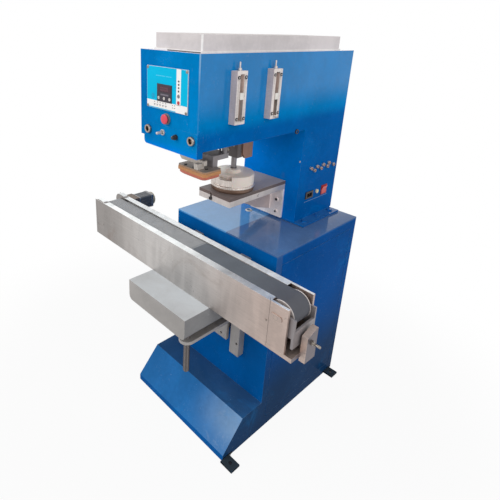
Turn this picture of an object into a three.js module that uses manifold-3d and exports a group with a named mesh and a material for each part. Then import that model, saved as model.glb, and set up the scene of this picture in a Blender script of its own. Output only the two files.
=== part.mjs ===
// Single-colour pad printing machine on a floor cabinet, with a belt conveyor that lifts on rails.
// Millimetres, +Z up, +X to the machine's right, -Y to the operator.
// Origin: on the floor, on the centre line, under the cabinet's front face.
import * as THREE from 'three';
import { mergeVertices } from 'three/addons/utils/BufferGeometryUtils.js';
import Module from 'manifold-3d';

const wasm = await Module();
wasm.setup();

// Shares, counts and turns
const halfShare = 0.5;
const quarterTurn = Math.PI * halfShare;
const fullTurn = quarterTurn + quarterTurn + quarterTurn + quarterTurn;
const fineSides = 32;
const midSides = 18;
const smallSides = 8;
const hexSides = 6;
const cornerSteps = 4;
const coordinates = 3;
const sides = [-1, 1];
const upSide = 1;

// Sheet and fits
const sheet = 3;
const floorSheet = 6;
const runningGap = 0.3;
const doorGap = 2;
const cutOver = 5;
const fullTurnDegrees = 360;
const screwHead = 4;
const screwHeadHigh = 2.5;

// Cabinet and foot
const cabinetHalf = 250;
const cabinetDepth = 510;
const columnDeep = 259;
const columnFrontY = cabinetDepth - columnDeep;
const cabinetTopZ = 755;
const footStepY = -106;
const footStepZ = 133;
const footToeY = -200;
const footToeZ = 26;
const tabThick = 8;
const tabHole = 7;
const frontTabOut = 52;
const frontTabY = -209;
const tabDeep = 42;
const rearTabOut = 42;
const rearTabInset = 57;
const rearTabY = cabinetDepth - rearTabInset;
const cableHole = 40;
const grommetX = -62;
const grommetInset = 35;
const grommetY = columnFrontY - grommetInset;
const grommetOuter = 12.5;
const grommetInner = 7;
const grommetHigh = 2;

// Cabinet door
const doorFrontY = 30;
const doorRearInset = 30;
const doorRearY = cabinetDepth - doorRearInset;
const doorBottomZ = 45;
const doorTopZ = 713;
const doorFold = 15;
const pivotInset = 4;
const pivotRadius = 3;
const pivotLong = 9;
const lugHalf = 9;
const lugHigh = 6;

// Column and printing head
const columnHalf = 133;
const headFrontY = -268;
const headClear = 366;
const headSideBottomZ = cabinetTopZ + headClear;
const headHigh = 265;
const headTopZ = headSideBottomZ + headHigh;
const headEdgeRadius = 8;
const columnEdgeRadius = 4;
const flangeThick = 8;
const flangeOut = 43;
const flangeHalf = columnHalf + flangeOut;
const flangeLip = 2;
const flangeFrontY = columnFrontY - flangeLip;
const flangeRearInset = 12;
const flangeRearY = cabinetDepth - flangeRearInset;
const flangeBoltOut = 22;
const flangeBoltX = columnHalf + flangeBoltOut;
const flangeBolt = 9;
const flangeBoltHigh = 6;
const flangeBoltFront = 34;
const flangeBoltMid = 124;
const flangeBoltRear = 47;
const flangeBoltYs = [columnFrontY + flangeBoltFront, columnFrontY + flangeBoltMid,
  cabinetDepth - flangeBoltRear];
const beamInset = 21;
const beamLeftX = beamInset - columnHalf;
const beamThick = 22;
const beamDrop = 18;
const beamBottomZ = headSideBottomZ - beamDrop;
const beamHigh = 71;
const beamTopZ = beamBottomZ + beamHigh;
const beamCorner = 12;
const cornerRise = 9;
const cornerBottomZ = headSideBottomZ + cornerRise;
const coverInset = 32;
const coverHalf = columnHalf - coverInset;
const coverFrontY = -233;
const coverRearInset = 51;
const coverRearY = cabinetDepth - coverRearInset;
const coverHigh = 47;
const coverCorner = 6;
const coverLip = 14;

// Control panel
const plateInset = 41;
const plateHalf = columnHalf - plateInset;
const plateRise = 47;
const plateBottomZ = beamTopZ + plateRise;
const plateDrop = 44;
const plateTopZ = headTopZ - plateDrop;
const plateThick = 3;
const plateRim = 5;
const overlayThick = 1;
const displayLeftX = -42;
const displayRightX = 25;
const displayRise = 23;
const displayBottomZ = plateBottomZ + displayRise;
const displayDrop = 48;
const displayTopZ = plateTopZ - displayDrop;
const displayOut = 1.5;
const keyXs = [-34, -9, 16];
const keyRise = 10;
const keyZ = displayBottomZ + keyRise;
const keyRadius = 4.5;
const keyOut = 2.6;
const keyTravel = 0.8;
const keySlack = 0.05;
const lampX = 54;
const lampDrops = [33, 42, 51, 60];
const lampZs = lampDrops.map((drop) => plateTopZ - drop);
const lampRadius = 2.2;
const lampOut = 1;
const padXs = [54, 54];
const padRises = [47, 29];
const padZs = padRises.map((rise) => plateBottomZ + rise);
const padRadius = 4.5;

// Operating controls
const stopX = 0;
const stopRise = 22;
const stopZ = beamTopZ + stopRise;
const bezelRadius = 17;
const bezelOut = 5;
const stopRadius = 15.5;
const stopOut = 5;
const stopStem = 6;
const stopStemLong = 16;
const stopTravel = 3;
const toggleX = -18;
const toggleDrop = 21;
const toggleZ = beamTopZ - toggleDrop;
const toggleRadius = 4.2;
const toggleOut = 25;
const toggleBall = 6;
const toggleNut = 8;
const toggleNutOut = 3;
const knobX = 43;
const knobDrop = 24;
const knobZ = beamTopZ - knobDrop;
const knobRadius = 9;
const knobOut = 16;
const knobTip = 6;
const knobFlange = 8;

// Guide rods and carriage
const rodInset = 24;
const rodRightInset = 23;
const rodXs = [beamLeftX + rodInset, columnHalf - rodRightInset];
const rodDrop = 22;
const rodZ = beamTopZ - rodDrop;
const rodRadius = 10;
const rodReach = 49;
const rodRearY = columnFrontY + rodReach;
const rodCollar = 15;
const rodCollarOut = 8;
const rodSocket = 7;
const rearBlockDeep = 18;
const rearBlockFrontY = rodRearY - rearBlockDeep;
const rearBlockHigh = 44;
const carriageInset = 6;
const carriageLeftX = beamLeftX;
const carriageRightX = columnHalf - carriageInset;
const carriageFrontY = -118;
const carriageRearY = 92;
const carriageDrop = 24;
const carriageBottomZ = rodZ - carriageDrop;
const carriageRise = 24;
const carriageTopZ = rodZ + carriageRise;
const shuttleX = -20;
const shuttleRise = 80;
const shuttleZ = rodZ + shuttleRise;
const shuttleRadius = 22;
const shuttleFrontLead = 6;
const shuttleFrontY = columnFrontY - shuttleFrontLead;
const shuttleRearInset = 30;
const shuttleRearY = cabinetDepth - shuttleRearInset;
const shuttleRodEndY = rodRearY;
const shuttleRodRadius = 8;
const shuttleLugX = 22;
const shuttleLugDeep = 16;
const shuttleLugHigh = 20;
const shuttleLugTopZ = shuttleZ + shuttleLugHigh;
const shuttleMountHigh = 46;

// Pad cylinder, pad block and pad
const pistonX = 28;
const pistonY = -45;
const pistonRadius = 9;
const cylinderRadius = 30;
const cylinderDrop = 36;
const cylinderTopZ = headTopZ - cylinderDrop;
const guideX = -28;
const guideY = -93;
const guideRadius = 7;
const guideDrop = 124;
const guideTopZ = headTopZ - guideDrop;
const studX = 8;
const studRadius = 4;
const padBlockLeftX = -38;
const padBlockRightX = 36;
const padBlockFrontY = -105;
const padBlockRearY = -33;
const padBlockDrop = 103;
const padBlockBottomZ = headSideBottomZ - padBlockDrop;
const padBlockHigh = 44;
const padBlockTopZ = padBlockBottomZ + padBlockHigh;
const padReliefDeep = 50;
const padReliefDrop = 17;
const padReliefTopZ = padBlockTopZ - padReliefDrop;
const padStroke = 70;
const crossbarLeftX = -84;
const crossbarRightX = 33;
const crossbarFrontY = -142;
const crossbarRearY = -128;
const crossbarRise = 17;
const crossbarBottomZ = padBlockBottomZ + crossbarRise;
const crossbarHigh = 17;
const crossbarTopZ = crossbarBottomZ + crossbarHigh;
const crossbarChamfer = 9;
const jawLeftX = 9;
const jawRightX = 27;
const jawFrontY = -163;
const jawRearY = -135;
const jawHigh = 25;
const clampPlate = 6;
const clampInset = 1;
const clampScrews = [[-43, -152], [-2, -152], [38, -134]];
const padBaseLeftX = -72;
const padBaseRightX = 62;
const padBaseFrontY = -166;
const padBaseRearY = -84;
const padBaseTopZ = padBlockBottomZ;
const padBaseThick = 11;
const padBaseCorner = 8;
const siliconeRimDrop = 18;
const siliconeRimZ = padBaseTopZ - siliconeRimDrop;
const siliconeDeep = 13;
const siliconeBottomZ = siliconeRimZ - siliconeDeep;
const siliconeInset = 3;
const siliconeRings = 4;
const padRoundShare = 0.2;

// Printing plate bed
const bedHalf = 75;
const bedFrontY = -55;
const bedRise = 126;
const bedBottomZ = cabinetTopZ + bedRise;
const bedThick = 21;
const bedTopZ = bedBottomZ + bedThick;
const clicheThick = 12;
const clicheTopZ = bedTopZ + clicheThick;
const bedSlotX = -15;
const bedSlotWide = 9;
const bedSlotDeep = 12;
const bedSlotRise = 7;
const bedSlotTopZ = bedTopZ + bedSlotRise;
const bedScrewY = 94;
const bracketHalf = bedHalf;
const bracketThick = 10;
const bracketTopZ = bedBottomZ;
const gussetOuter = 22;
const gussetThick = 12;
const gussetFootDrop = 98;
const gussetFootZ = bracketTopZ - gussetFootDrop;
const gussetMidLead = 101;
const gussetMidY = columnFrontY - gussetMidLead;
const gussetMidDrop = 67;
const gussetMidZ = bracketTopZ - gussetMidDrop;
const gussetUpLead = 154;
const gussetUpY = columnFrontY - gussetUpLead;
const gussetUpDrop = 40;
const gussetUpZ = bracketTopZ - gussetUpDrop;
const gussetTipY = -5;
const bracketHoleX = 51;
const bracketScrewDrops = [97, 47];
const bracketScrewZs = bracketScrewDrops.map((drop) => bracketTopZ - drop);

// Ink cup and its holder
const cupX = -1;
const cupY = 37;
const wiperRadius = 76;
const wiperInner = 62;
const wiperHigh = 16;
const wiperTopZ = clicheTopZ + wiperHigh;
const cupFlange = 78;
const cupFlangeHigh = 8;
const cupFlangeTopZ = wiperTopZ + cupFlangeHigh;
const cupWall = 72;
const cupWallHigh = 24;
const cupWallTopZ = cupFlangeTopZ + cupWallHigh;
const cupRoof = 4;
const capRadius = 75;
const cupCapHigh = 13;
const capTopZ = cupWallTopZ + cupCapHigh;
const capCutFrom = 3.25;
const capCutTo = 5.38;
const capWedgeShare = 1.5;
const capStepRadius = 52;
const bossRadius = 28;
const bossHigh = 13;
const bossTopZ = capTopZ + bossHigh;
const cupSpindle = 9.5;
const cupNut = 12;
const cupNutHigh = 3;
const holderLong = 96;
const holderBottomZ = carriageBottomZ - holderLong;
const holderLeftX = -22;
const holderRightX = 29;
const holderFrontY = 19;
const holderRearY = 46;
const holderPlateRightX = 34;
const holderPlateRearY = 92;
const holderPlateChamfer = 14;
const fittingRadius = 7;

// Stroke adjusters on the right side
const adjusterYs = [-127, 33];
const adjusterHalf = 21;
const adjusterOut = 24;
const adjusterRise = 69;
const adjusterBottomZ = headSideBottomZ + adjusterRise;
const adjusterDrop = 46;
const adjusterTopZ = headTopZ - adjusterDrop;
const adjusterWall = 9;
const adjusterSlotHalf = 8;
const adjusterBack = 6;
const adjusterScrewInset = 17;
const adjusterScrewOut = 12;
const adjusterScrewX = columnHalf + adjusterScrewOut;
const leadRadius = 3;
const leadOut = 24;
const leadTopZ = adjusterTopZ + leadOut;
const leadCollar = 5.5;
const leadCollarHigh = 7;
const nutDrops = [69, 81];
const nutZs = nutDrops.map((drop) => adjusterTopZ - drop);
const nutHigh = 10;
const nutOut = 3;

// Air and electric fittings on the column
const fittingReachesTop = [66, 107, 149, 189];
const fittingYsTop = fittingReachesTop.map((reach) => columnFrontY + reach);
const fittingReachesLow = [90, 134, 179, 223];
const fittingYsLow = fittingReachesLow.map((reach) => columnFrontY + reach);
const fittingTopRise = 211;
const fittingTopZ = cabinetTopZ + fittingTopRise;
const fittingLowRise = 199;
const fittingLowZ = cabinetTopZ + fittingLowRise;
const pushFitting = 7;
const pushFittingOut = 9;
const pushFittingBore = 3;
const manifoldDeep = 24;
const manifoldHalfHigh = 18;
const manifoldLead = 55;
const manifoldFrontY = columnFrontY + manifoldLead;
const manifoldRearInset = 24;
const manifoldRearY = cabinetDepth - manifoldRearInset;
const inletReach = 78;
const inletY = columnFrontY + inletReach;
const inletRise = 102;
const inletZ = cabinetTopZ + inletRise;
const inletHalfWide = 24;
const inletHalfHigh = 14;
const inletOut = 4;
const inletWell = 16;
const fuseReach = 128;
const fuseY = columnFrontY + fuseReach;
const fuseRise = 106;
const fuseZ = cabinetTopZ + fuseRise;
const fuseRadius = 8;
const fuseOut = 6;
const switchReach = 180;
const switchY = columnFrontY + switchReach;
const switchRise = 102;
const switchZ = cabinetTopZ + switchRise;
const switchHalf = 19.5;
const switchOut = 3;
const rockerHalfWide = 15;
const rockerHalfHigh = 15;
const rockerDeep = 10;
const rockerCrest = 5;
const rockerTilt = 0.14;
const electricsBack = 8;
const electricsStand = 12;
const sideBolt = 6.5;
const sideBoltLead = 53;
const sideBoltY = columnFrontY - sideBoltLead;
const sideBoltRise = 1;
const sideBoltZ = headSideBottomZ + sideBoltRise;

// Valve block inside the column
const valveHalf = 70;
const valveDeep = 34;
const valveRise = 255;
const valveBottomZ = cabinetTopZ + valveRise;
const valveHigh = 56;
const valveCount = 4;
const valvePitch = 32;
const valveWide = 24;
const valveBodyHigh = 44;

// Conveyor
const conveyorLeftX = -593;
const conveyorFrontY = -184;
const conveyorRearY = -56;
const conveyorTopZ = 734;
const conveyorBottomZ = 574;
const conveyorSheet = 3;
const seamFrontX = 367;
const seamRearX = 351;
const flangeWide = 26;
const flangeStartX = -520;
const cheekRise = 5;
const cheekRadius = 26;
const cheekBottomZ = 640;
const endRightX = 430;
const endThick = 9;
const axleMark = 6;
const slotHalfLong = 12;
const basePlateThick = 14;
const basePlateRightX = 457;
const basePlateLeftX = -560;
const beltFrontY = -158;
const beltRearY = -82;
const beltThick = 2.5;
const driveX = -546;
const driveZ = 694;
const driveRadius = 27;
const idlerX = 392;
const idlerZ = 691;
const idlerRadius = 39.5;
const idlerRim = 44;
const idlerRimWide = 3;
const axleRadius = 8;
const bedPlateThick = 5;
const bedPlateLeftX = -505;
const bedPlateRightX = 335;
const faceScrews = [[-580, 618], [-536, 631], [-64, 665], [355, 662]];
const yokeFrontY = -172;
const yokeRearY = -68;
const yokeArm = 6;
const yokeLeftX = 380;
const yokePlateX = 440;
const yokePlateThick = 8;
const yokeBottomZ = 608;
const yokeTopZ = 668;
const yokeArmBottomZ = 640;
const yokeArmTopZ = 704;
const tensionLeftX = 455;
const tensionRightX = 475;
const tensionFrontY = -142;
const tensionRearY = -92;
const tensionBottomZ = 560;
const tensionTopZ = 646;
const tensionPeakZ = 662;
const tensionY = -120;
const tensionZ = 624;
const tensionRadius = 4;
const tensionEndX = 504;

// Gear motor
const motorX = -526;
const motorZ = 697;
const gearHalf = 33;
const gearRearY = -20;
const motorHalf = 31;
const motorRearY = 58;
const motorCapRadius = 29;
const motorCapRearY = 72;
const motorNeck = 2;
const motorEdge = 4;
const motorLip = 1.5;

// Control box under the conveyor
const boxLeftX = -180;
const boxRightX = 130;
const boxFrontY = -292;
const boxRearY = -62;
const boxBottomZ = 494;
const boxTopZ = conveyorBottomZ;
const boxWall = 2.5;
const boxRadius = 18;

// Height adjustment
const railX = 120;
const railHalf = 22;
const railDeep = 30;
const railBottomZ = 289;
const railTopZ = 702;
const railHoleZ = 344;
const railHole = 5;
const grooveDeep = 8;
const grooveFrontY = -24;
const grooveRearY = -10;
const slideHalf = 94;
const slideBottomZ = 496;
const slideTopZ = 590;
const slideRearY = -6;
const armPlateLeftX = 72;
const armPlateRightX = 128;
const armBottomZ = 462;
const armTopZ = 474;
const armTipY = -252;
const bracketPlateFrontY = -42;
const bracketPlateHalf = 90;
const bracketPlateBottomZ = 343;
const bracketSpacerHalf = 70;
const bracketSpacerBottomZ = 370;
const bracketSpacerTopZ = 456;
const armHoleX = 62;
const bracketHoleZ = 360;
const heightX = 100;
const heightRadius = 11;
const heightBottomZ = 333;
const heightCollar = 17;
const heightCollarHigh = 6;
const heightJournal = 8;
const heightJournalLong = 20;
const heightNut = 13;
const heightNutHigh = 7;

// Colours
const blue = '#0a5fae';
const coverGrey = '#c9c2ba';
const brushed = '#b4aaa2';
const bright = '#d9dbdc';
const dark = '#26262b';
const steel = '#8f8a88';
const chrome = '#d7d4d0';
const white = '#ece8e2';
const red = '#e0344a';

// A closed solid from one three.js shape, facing out
function toSolid(geometry) {
  geometry.deleteAttribute('normal');
  geometry.deleteAttribute('uv');
  const welded = mergeVertices(geometry);
  const points = welded.attributes.position;
  const source = welded.index.array;
  const corners = [];
  let volume = 0;
  const a = new THREE.Vector3();
  const b = new THREE.Vector3();
  const c = new THREE.Vector3();
  for (let i = 0; i < source.length; i += coordinates) {
    const [p, q, r] = source.slice(i, i + coordinates);
    if (p === q || q === r || r === p) continue;
    corners.push(p, q, r);
    a.fromBufferAttribute(points, p);
    b.fromBufferAttribute(points, q);
    c.fromBufferAttribute(points, r);
    volume += a.dot(b.cross(c));
  }
  if (volume < 0) corners.reverse();
  return new wasm.Manifold(new wasm.Mesh({
    numProp: coordinates,
    vertProperties: new Float32Array(points.array),
    triVerts: new Uint32Array(corners),
  }));
}

// Box between two corners
function block(x0, x1, y0, y1, z0, z1) {
  const shape = new THREE.BoxGeometry(x1 - x0, y1 - y0, z1 - z0);
  shape.translate((x0 + x1) * halfShare, (y0 + y1) * halfShare, (z0 + z1) * halfShare);
  return toSolid(shape);
}

// Round bar along X
function barX(y, z, x0, x1, radius, count) {
  const shape = new THREE.CylinderGeometry(radius, radius, x1 - x0, count);
  shape.rotateZ(quarterTurn);
  shape.translate((x0 + x1) * halfShare, y, z);
  return toSolid(shape);
}

// Round bar along Y
function barY(x, z, y0, y1, radius, count) {
  const shape = new THREE.CylinderGeometry(radius, radius, y1 - y0, count);
  shape.translate(x, (y0 + y1) * halfShare, z);
  return toSolid(shape);
}

// Round bar along Z
function barZ(x, y, z0, z1, radius, count) {
  const shape = new THREE.CylinderGeometry(radius, radius, z1 - z0, count);
  shape.rotateX(quarterTurn);
  shape.translate(x, y, (z0 + z1) * halfShare);
  return toSolid(shape);
}

// Turned piece on a Z axis from [radius, z] pairs
function turnedZ(x, y, profile, count) {
  const shape = new THREE.LatheGeometry(profile.map(([r, z]) => new THREE.Vector2(r, z)), count);
  shape.rotateX(quarterTurn);
  shape.translate(x, y, 0);
  return toSolid(shape);
}

// Turned piece on a Y axis from [radius, y] pairs
function turnedY(x, z, profile, count) {
  const shape = new THREE.LatheGeometry(profile.map(([r, y]) => new THREE.Vector2(r, y)), count);
  shape.translate(x, 0, z);
  return toSolid(shape);
}

// Flat outline from corner pairs
function outline(corners) {
  return new THREE.Shape(corners.map(([u, v]) => new THREE.Vector2(u, v)));
}

// Rectangle with its four corners cut off
function chamfered(u0, u1, v0, v1, corner) {
  return outline([[u0 + corner, v0], [u1 - corner, v0], [u1, v0 + corner], [u1, v1 - corner],
    [u1 - corner, v1], [u0 + corner, v1], [u0, v1 - corner], [u0, v0 + corner]]);
}

// Rectangle with its four corner radii, from the low-low corner anticlockwise
function rounded(u0, u1, v0, v1, radii) {
  const [a, b, c, d] = radii;
  const shape = new THREE.Shape();
  shape.moveTo(u0 + a, v0);
  shape.lineTo(u1 - b, v0);
  if (b > 0) shape.absarc(u1 - b, v0 + b, b, -quarterTurn, 0, false);
  shape.lineTo(u1, v1 - c);
  if (c > 0) shape.absarc(u1 - c, v1 - c, c, 0, quarterTurn, false);
  shape.lineTo(u0 + d, v1);
  if (d > 0) shape.absarc(u0 + d, v1 - d, d, quarterTurn, quarterTurn + quarterTurn, false);
  shape.lineTo(u0, v0 + a);
  if (a > 0) shape.absarc(u0 + a, v0 + a, a, -quarterTurn - quarterTurn, -quarterTurn, false);
  return shape;
}

// Outline pushed straight along one axis
function pushed(shape, low, high, axis) {
  const body = new THREE.ExtrudeGeometry(shape, {
    depth: high - low, bevelEnabled: false, curveSegments: cornerSteps,
  });
  const X = new THREE.Vector3(1, 0, 0);
  const Y = new THREE.Vector3(0, 1, 0);
  const Z = new THREE.Vector3(0, 0, 1);
  const turn = new THREE.Matrix4();
  if (axis === 'x') turn.makeBasis(Y, Z, X);
  if (axis === 'y') turn.makeBasis(X, Z, Y.clone().negate());
  body.applyMatrix4(turn);
  if (axis === 'x') body.translate(low, 0, 0);
  if (axis === 'y') body.translate(0, high, 0);
  if (axis === 'z') body.translate(0, 0, low);
  return toSolid(body);
}

// Several solids made one
function joined(...solids) {
  return solids.reduce((whole, next) => whole.add(next));
}

// First solid with the others cut away
function cut(solid, ...tools) {
  return tools.reduce((left, tool) => left.subtract(tool), solid);
}

// Named mesh of one solid
function piece(name, solid, colour, roughness, metalness) {
  const raw = solid.getMesh();
  const shape = new THREE.BufferGeometry();
  const corners = new Float32Array(raw.vertProperties);
  shape.setAttribute('position', new THREE.BufferAttribute(corners, coordinates));
  shape.setIndex(new THREE.BufferAttribute(new Uint32Array(raw.triVerts), 1));
  const flat = shape.toNonIndexed();
  flat.computeVertexNormals();
  const finish = new THREE.MeshStandardMaterial({ color: colour, roughness, metalness });
  const mesh = new THREE.Mesh(flat, finish);
  mesh.name = name;
  return mesh;
}

const paintRough = 0.32;
const metalRough = 0.38;
const polishRough = 0.14;
const plasticRough = 0.45;
const rubberRough = 0.7;
const bare = 1;
const coated = 0;

// Cabinet: one folded and welded shell with its sloping foot and floor tabs
function cabinetShell() {
  const run = footStepY - footToeY;
  const rise = footStepZ - footToeZ;
  const drop = sheet * Math.hypot(run, rise) / run;
  const outerLine = [[0, cabinetTopZ], [0, footStepZ], [footStepY, footStepZ], [footToeY, footToeZ],
    [footToeY, 0], [cabinetDepth, 0], [cabinetDepth, cabinetTopZ]];
  const stepInnerZ = footStepZ - sheet;
  const stepInnerY = footToeY + (stepInnerZ - footToeZ + drop) * run / rise;
  const toeInnerY = footToeY + sheet;
  const toeInnerZ = footToeZ + sheet * rise / run - drop;
  const rearInnerY = cabinetDepth - sheet;
  const topInnerZ = cabinetTopZ - sheet;
  const innerLine = [[sheet, topInnerZ], [sheet, stepInnerZ], [stepInnerY, stepInnerZ], [toeInnerY, toeInnerZ],
    [toeInnerY, floorSheet], [rearInnerY, floorSheet], [rearInnerY, topInnerZ]];
  const wallX = cabinetHalf - sheet;
  const outer = pushed(outline(outerLine), -cabinetHalf, cabinetHalf, 'x');
  const inner = pushed(outline(innerLine), -wallX, wallX, 'x');
  const doorway = block(wallX - cutOver, cabinetHalf + cutOver, doorFrontY, doorRearY, doorBottomZ, doorTopZ);
  const cableY = cabinetDepth - columnHalf;
  const cableWay = barZ(0, cableY, topInnerZ - cutOver, cabinetTopZ + cutOver, cableHole, midSides);
  let shell = cut(outer, inner, doorway, cableWay);
  const tabs = [[1, frontTabOut, frontTabY], [1, rearTabOut, rearTabY], [-1, rearTabOut, rearTabY]];
  for (const [side, out, y] of tabs) {
    const near = side * (wallX + sheet * halfShare);
    const far = side * (cabinetHalf + out);
    const tab = block(Math.min(near, far), Math.max(near, far), y, y + tabDeep, 0, tabThick);
    const hole = barZ(side * (cabinetHalf + out * halfShare), y + tabDeep * halfShare,
      -cutOver, tabThick + cutOver, tabHole, smallSides);
    shell = shell.add(cut(tab, hole));
  }
  const ring = barZ(grommetX, grommetY, topInnerZ, cabinetTopZ + grommetHigh, grommetOuter, midSides);
  const bore = barZ(grommetX, grommetY, topInnerZ - cutOver, cabinetTopZ + cutOver, grommetInner, midSides);
  return cut(joined(shell, ring, ...doorLugs()), bore);
}

// Lugs inside the doorway that hold the door's pivots
function doorLugs() {
  const x = cabinetHalf - pivotInset;
  const y = doorRearY - doorGap - pivotInset;
  const lugs = [];
  for (const [low, high] of [[doorTopZ, doorTopZ + lugHigh], [doorBottomZ - lugHigh, doorBottomZ]]) {
    const lug = block(x - lugHalf, cabinetHalf - sheet * halfShare, y - lugHalf, y + lugHalf, low, high);
    const hole = barZ(x, y, low - cutOver, high + cutOver, pivotRadius + runningGap, smallSides);
    lugs.push(cut(lug, hole));
  }
  return lugs;
}

// Room the pivots need in the doorway's edges
function pivotRoom(solid) {
  const x = cabinetHalf - pivotInset;
  const y = doorRearY - doorGap - pivotInset;
  const top = barZ(x, y, doorTopZ - cutOver, doorTopZ + lugHigh, pivotRadius + runningGap, smallSides);
  const low = barZ(x, y, doorBottomZ - lugHigh, doorBottomZ + cutOver, pivotRadius + runningGap, smallSides);
  return cut(solid, top, low);
}

// Door: a folded tray that fills the doorway, with a pivot pin at top and bottom
function cabinetDoor() {
  const y0 = doorFrontY + doorGap;
  const y1 = doorRearY - doorGap;
  const z0 = doorBottomZ + doorGap;
  const z1 = doorTopZ - doorGap;
  const tray = block(cabinetHalf - doorFold, cabinetHalf, y0, y1, z0, z1);
  const hollow = block(cabinetHalf - doorFold - cutOver, cabinetHalf - sheet,
    y0 + sheet, y1 - sheet, z0 + sheet, z1 - sheet);
  const x = cabinetHalf - pivotInset;
  const y = y1 - pivotInset;
  const topPin = barZ(x, y, z1 - pivotLong, z1 + pivotLong * halfShare, pivotRadius, smallSides);
  const lowPin = barZ(x, y, z0 - pivotLong * halfShare, z0 + pivotLong, pivotRadius, smallSides);
  return joined(cut(tray, hollow), topPin, lowPin);
}

// Flange plate under the column, with its six bolts
function columnFlange() {
  const z1 = cabinetTopZ + flangeThick;
  let plate = block(-flangeHalf, flangeHalf, flangeFrontY, flangeRearY, cabinetTopZ, z1);
  for (const side of sides) {
    for (const y of flangeBoltYs) {
      plate = plate.add(barZ(side * flangeBoltX, y, cabinetTopZ, z1 + flangeBoltHigh, flangeBolt, smallSides));
    }
  }
  const cableY = cabinetDepth - columnHalf;
  return cut(plate, barZ(0, cableY, cabinetTopZ - cutOver, z1 + cutOver, cableHole, midSides));
}

// Column and head: one folded shell, open underneath and under the top cover
function columnHead() {
  const z0 = cabinetTopZ + flangeThick;
  const outerLine = [[headFrontY, headTopZ], [headFrontY, headSideBottomZ], [columnFrontY, headSideBottomZ],
    [columnFrontY, z0], [cabinetDepth, z0], [cabinetDepth, headTopZ]];
  const ruled = pushed(outline(outerLine), -columnHalf, columnHalf, 'x');
  const edges = [headEdgeRadius, headEdgeRadius, columnEdgeRadius, columnEdgeRadius];
  const plan = rounded(-columnHalf, columnHalf, headFrontY, cabinetDepth, edges);
  const outer = ruled.intersect(pushed(plan, z0, headTopZ, 'z'));
  const inX = columnHalf - sheet;
  const inEdge = headEdgeRadius - sheet;
  const inside = rounded(-inX, inX, headFrontY + sheet, cabinetDepth - sheet, [inEdge, inEdge, 0, 0]);
  const headRoom = pushed(inside, headSideBottomZ + sheet, headTopZ - sheet, 'z');
  const open = rounded(-inX, inX, headFrontY + sheet, columnFrontY, [inEdge, inEdge, 0, 0]);
  const under = pushed(open, headSideBottomZ - cutOver, headTopZ - sheet, 'z');
  const columnRoom = block(-inX, inX, columnFrontY + sheet, cabinetDepth - sheet,
    z0 - cutOver, headTopZ - sheet);
  const edgeCut = coverLip + sheet;
  const hatch = block(-coverHalf + edgeCut, coverHalf - edgeCut, coverFrontY + edgeCut, coverRearY - edgeCut,
    headTopZ - sheet - cutOver, headTopZ + cutOver);
  const beamSeat = block(beamLeftX, columnHalf + cutOver,
    headFrontY - cutOver, headFrontY + beamThick, headSideBottomZ - cutOver, beamTopZ);
  const leftCorner = block(-columnHalf - cutOver, beamLeftX + cutOver,
    headFrontY - cutOver, headFrontY + beamThick, headSideBottomZ - cutOver, cornerBottomZ);
  let shell = cut(outer, headRoom, under, columnRoom, hatch, beamSeat, leftCorner);
  const boltLow = columnHalf - sheet;
  shell = shell.add(barX(sideBoltY, sideBoltZ, boltLow, columnHalf + screwHeadHigh, sideBolt, smallSides));
  const stopHole = barY(stopX, stopZ, headFrontY - cutOver, headFrontY + sheet + cutOver,
    stopStem + runningGap, midSides);
  return cut(shell, stopHole, ...sideOpenings());
}

// Openings in the column's right wall for fittings, inlet, fuse and switch
function sideOpenings() {
  const x0 = columnHalf - sheet - cutOver;
  const x1 = columnHalf + cutOver;
  const tools = [];
  for (const y of fittingYsTop) {
    tools.push(barX(y, fittingTopZ, x0, x1, pushFitting + runningGap, smallSides));
  }
  for (const y of fittingYsLow) {
    tools.push(barX(y, fittingLowZ, x0, x1, pushFitting + runningGap, smallSides));
  }
  const wide = inletHalfWide - inletOut;
  const high = inletHalfHigh - inletOut * halfShare;
  tools.push(block(x0, x1, inletY - wide, inletY + wide, inletZ - high, inletZ + high));
  tools.push(barX(fuseY, fuseZ, x0, x1, fuseRadius - screwHeadHigh + runningGap, smallSides));
  const hole = switchHalf - switchOut;
  tools.push(block(x0, x1, switchY - hole, switchY + hole, switchZ - hole, switchZ + hole));
  return tools;
}

// Front beam that carries the guide rods
function frontBeam() {
  const radii = [beamCorner, 0, 0, 0];
  const bar = pushed(rounded(beamLeftX, columnHalf, beamBottomZ, beamTopZ, radii),
    headFrontY, headFrontY + beamThick, 'y');
  const nut = barY(toggleX, toggleZ, headFrontY - toggleNutOut, headFrontY + beamThick, toggleNut, midSides);
  const y0 = headFrontY - cutOver;
  const y1 = headFrontY + beamThick + cutOver;
  const holes = rodXs.map((x) => barY(x, rodZ, y0, y1, rodRadius + runningGap, midSides));
  holes.push(turnedY(toggleX, toggleZ, [[0, y0], [toggleRadius + toggleNutOut, y0],
    [toggleBall + runningGap, headFrontY + toggleNutOut], [toggleBall + runningGap, y1], [0, y1]], midSides));
  holes.push(barY(knobX, knobZ, headFrontY - cutOver, headFrontY + beamThick * halfShare,
    knobTip * halfShare + runningGap, smallSides));
  return cut(joined(bar, nut), ...holes);
}

// Top cover: a folded lid standing on the head
function topCover() {
  const radii = [coverCorner, coverCorner, coverCorner, coverCorner];
  const top = headTopZ + coverHigh;
  const outer = pushed(rounded(-coverHalf, coverHalf, coverFrontY, coverRearY, radii), headTopZ, top, 'z');
  const inner = block(-coverHalf + sheet, coverHalf - sheet, coverFrontY + sheet, coverRearY - sheet,
    headTopZ - cutOver, top - sheet);
  return cut(outer, inner);
}

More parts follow.
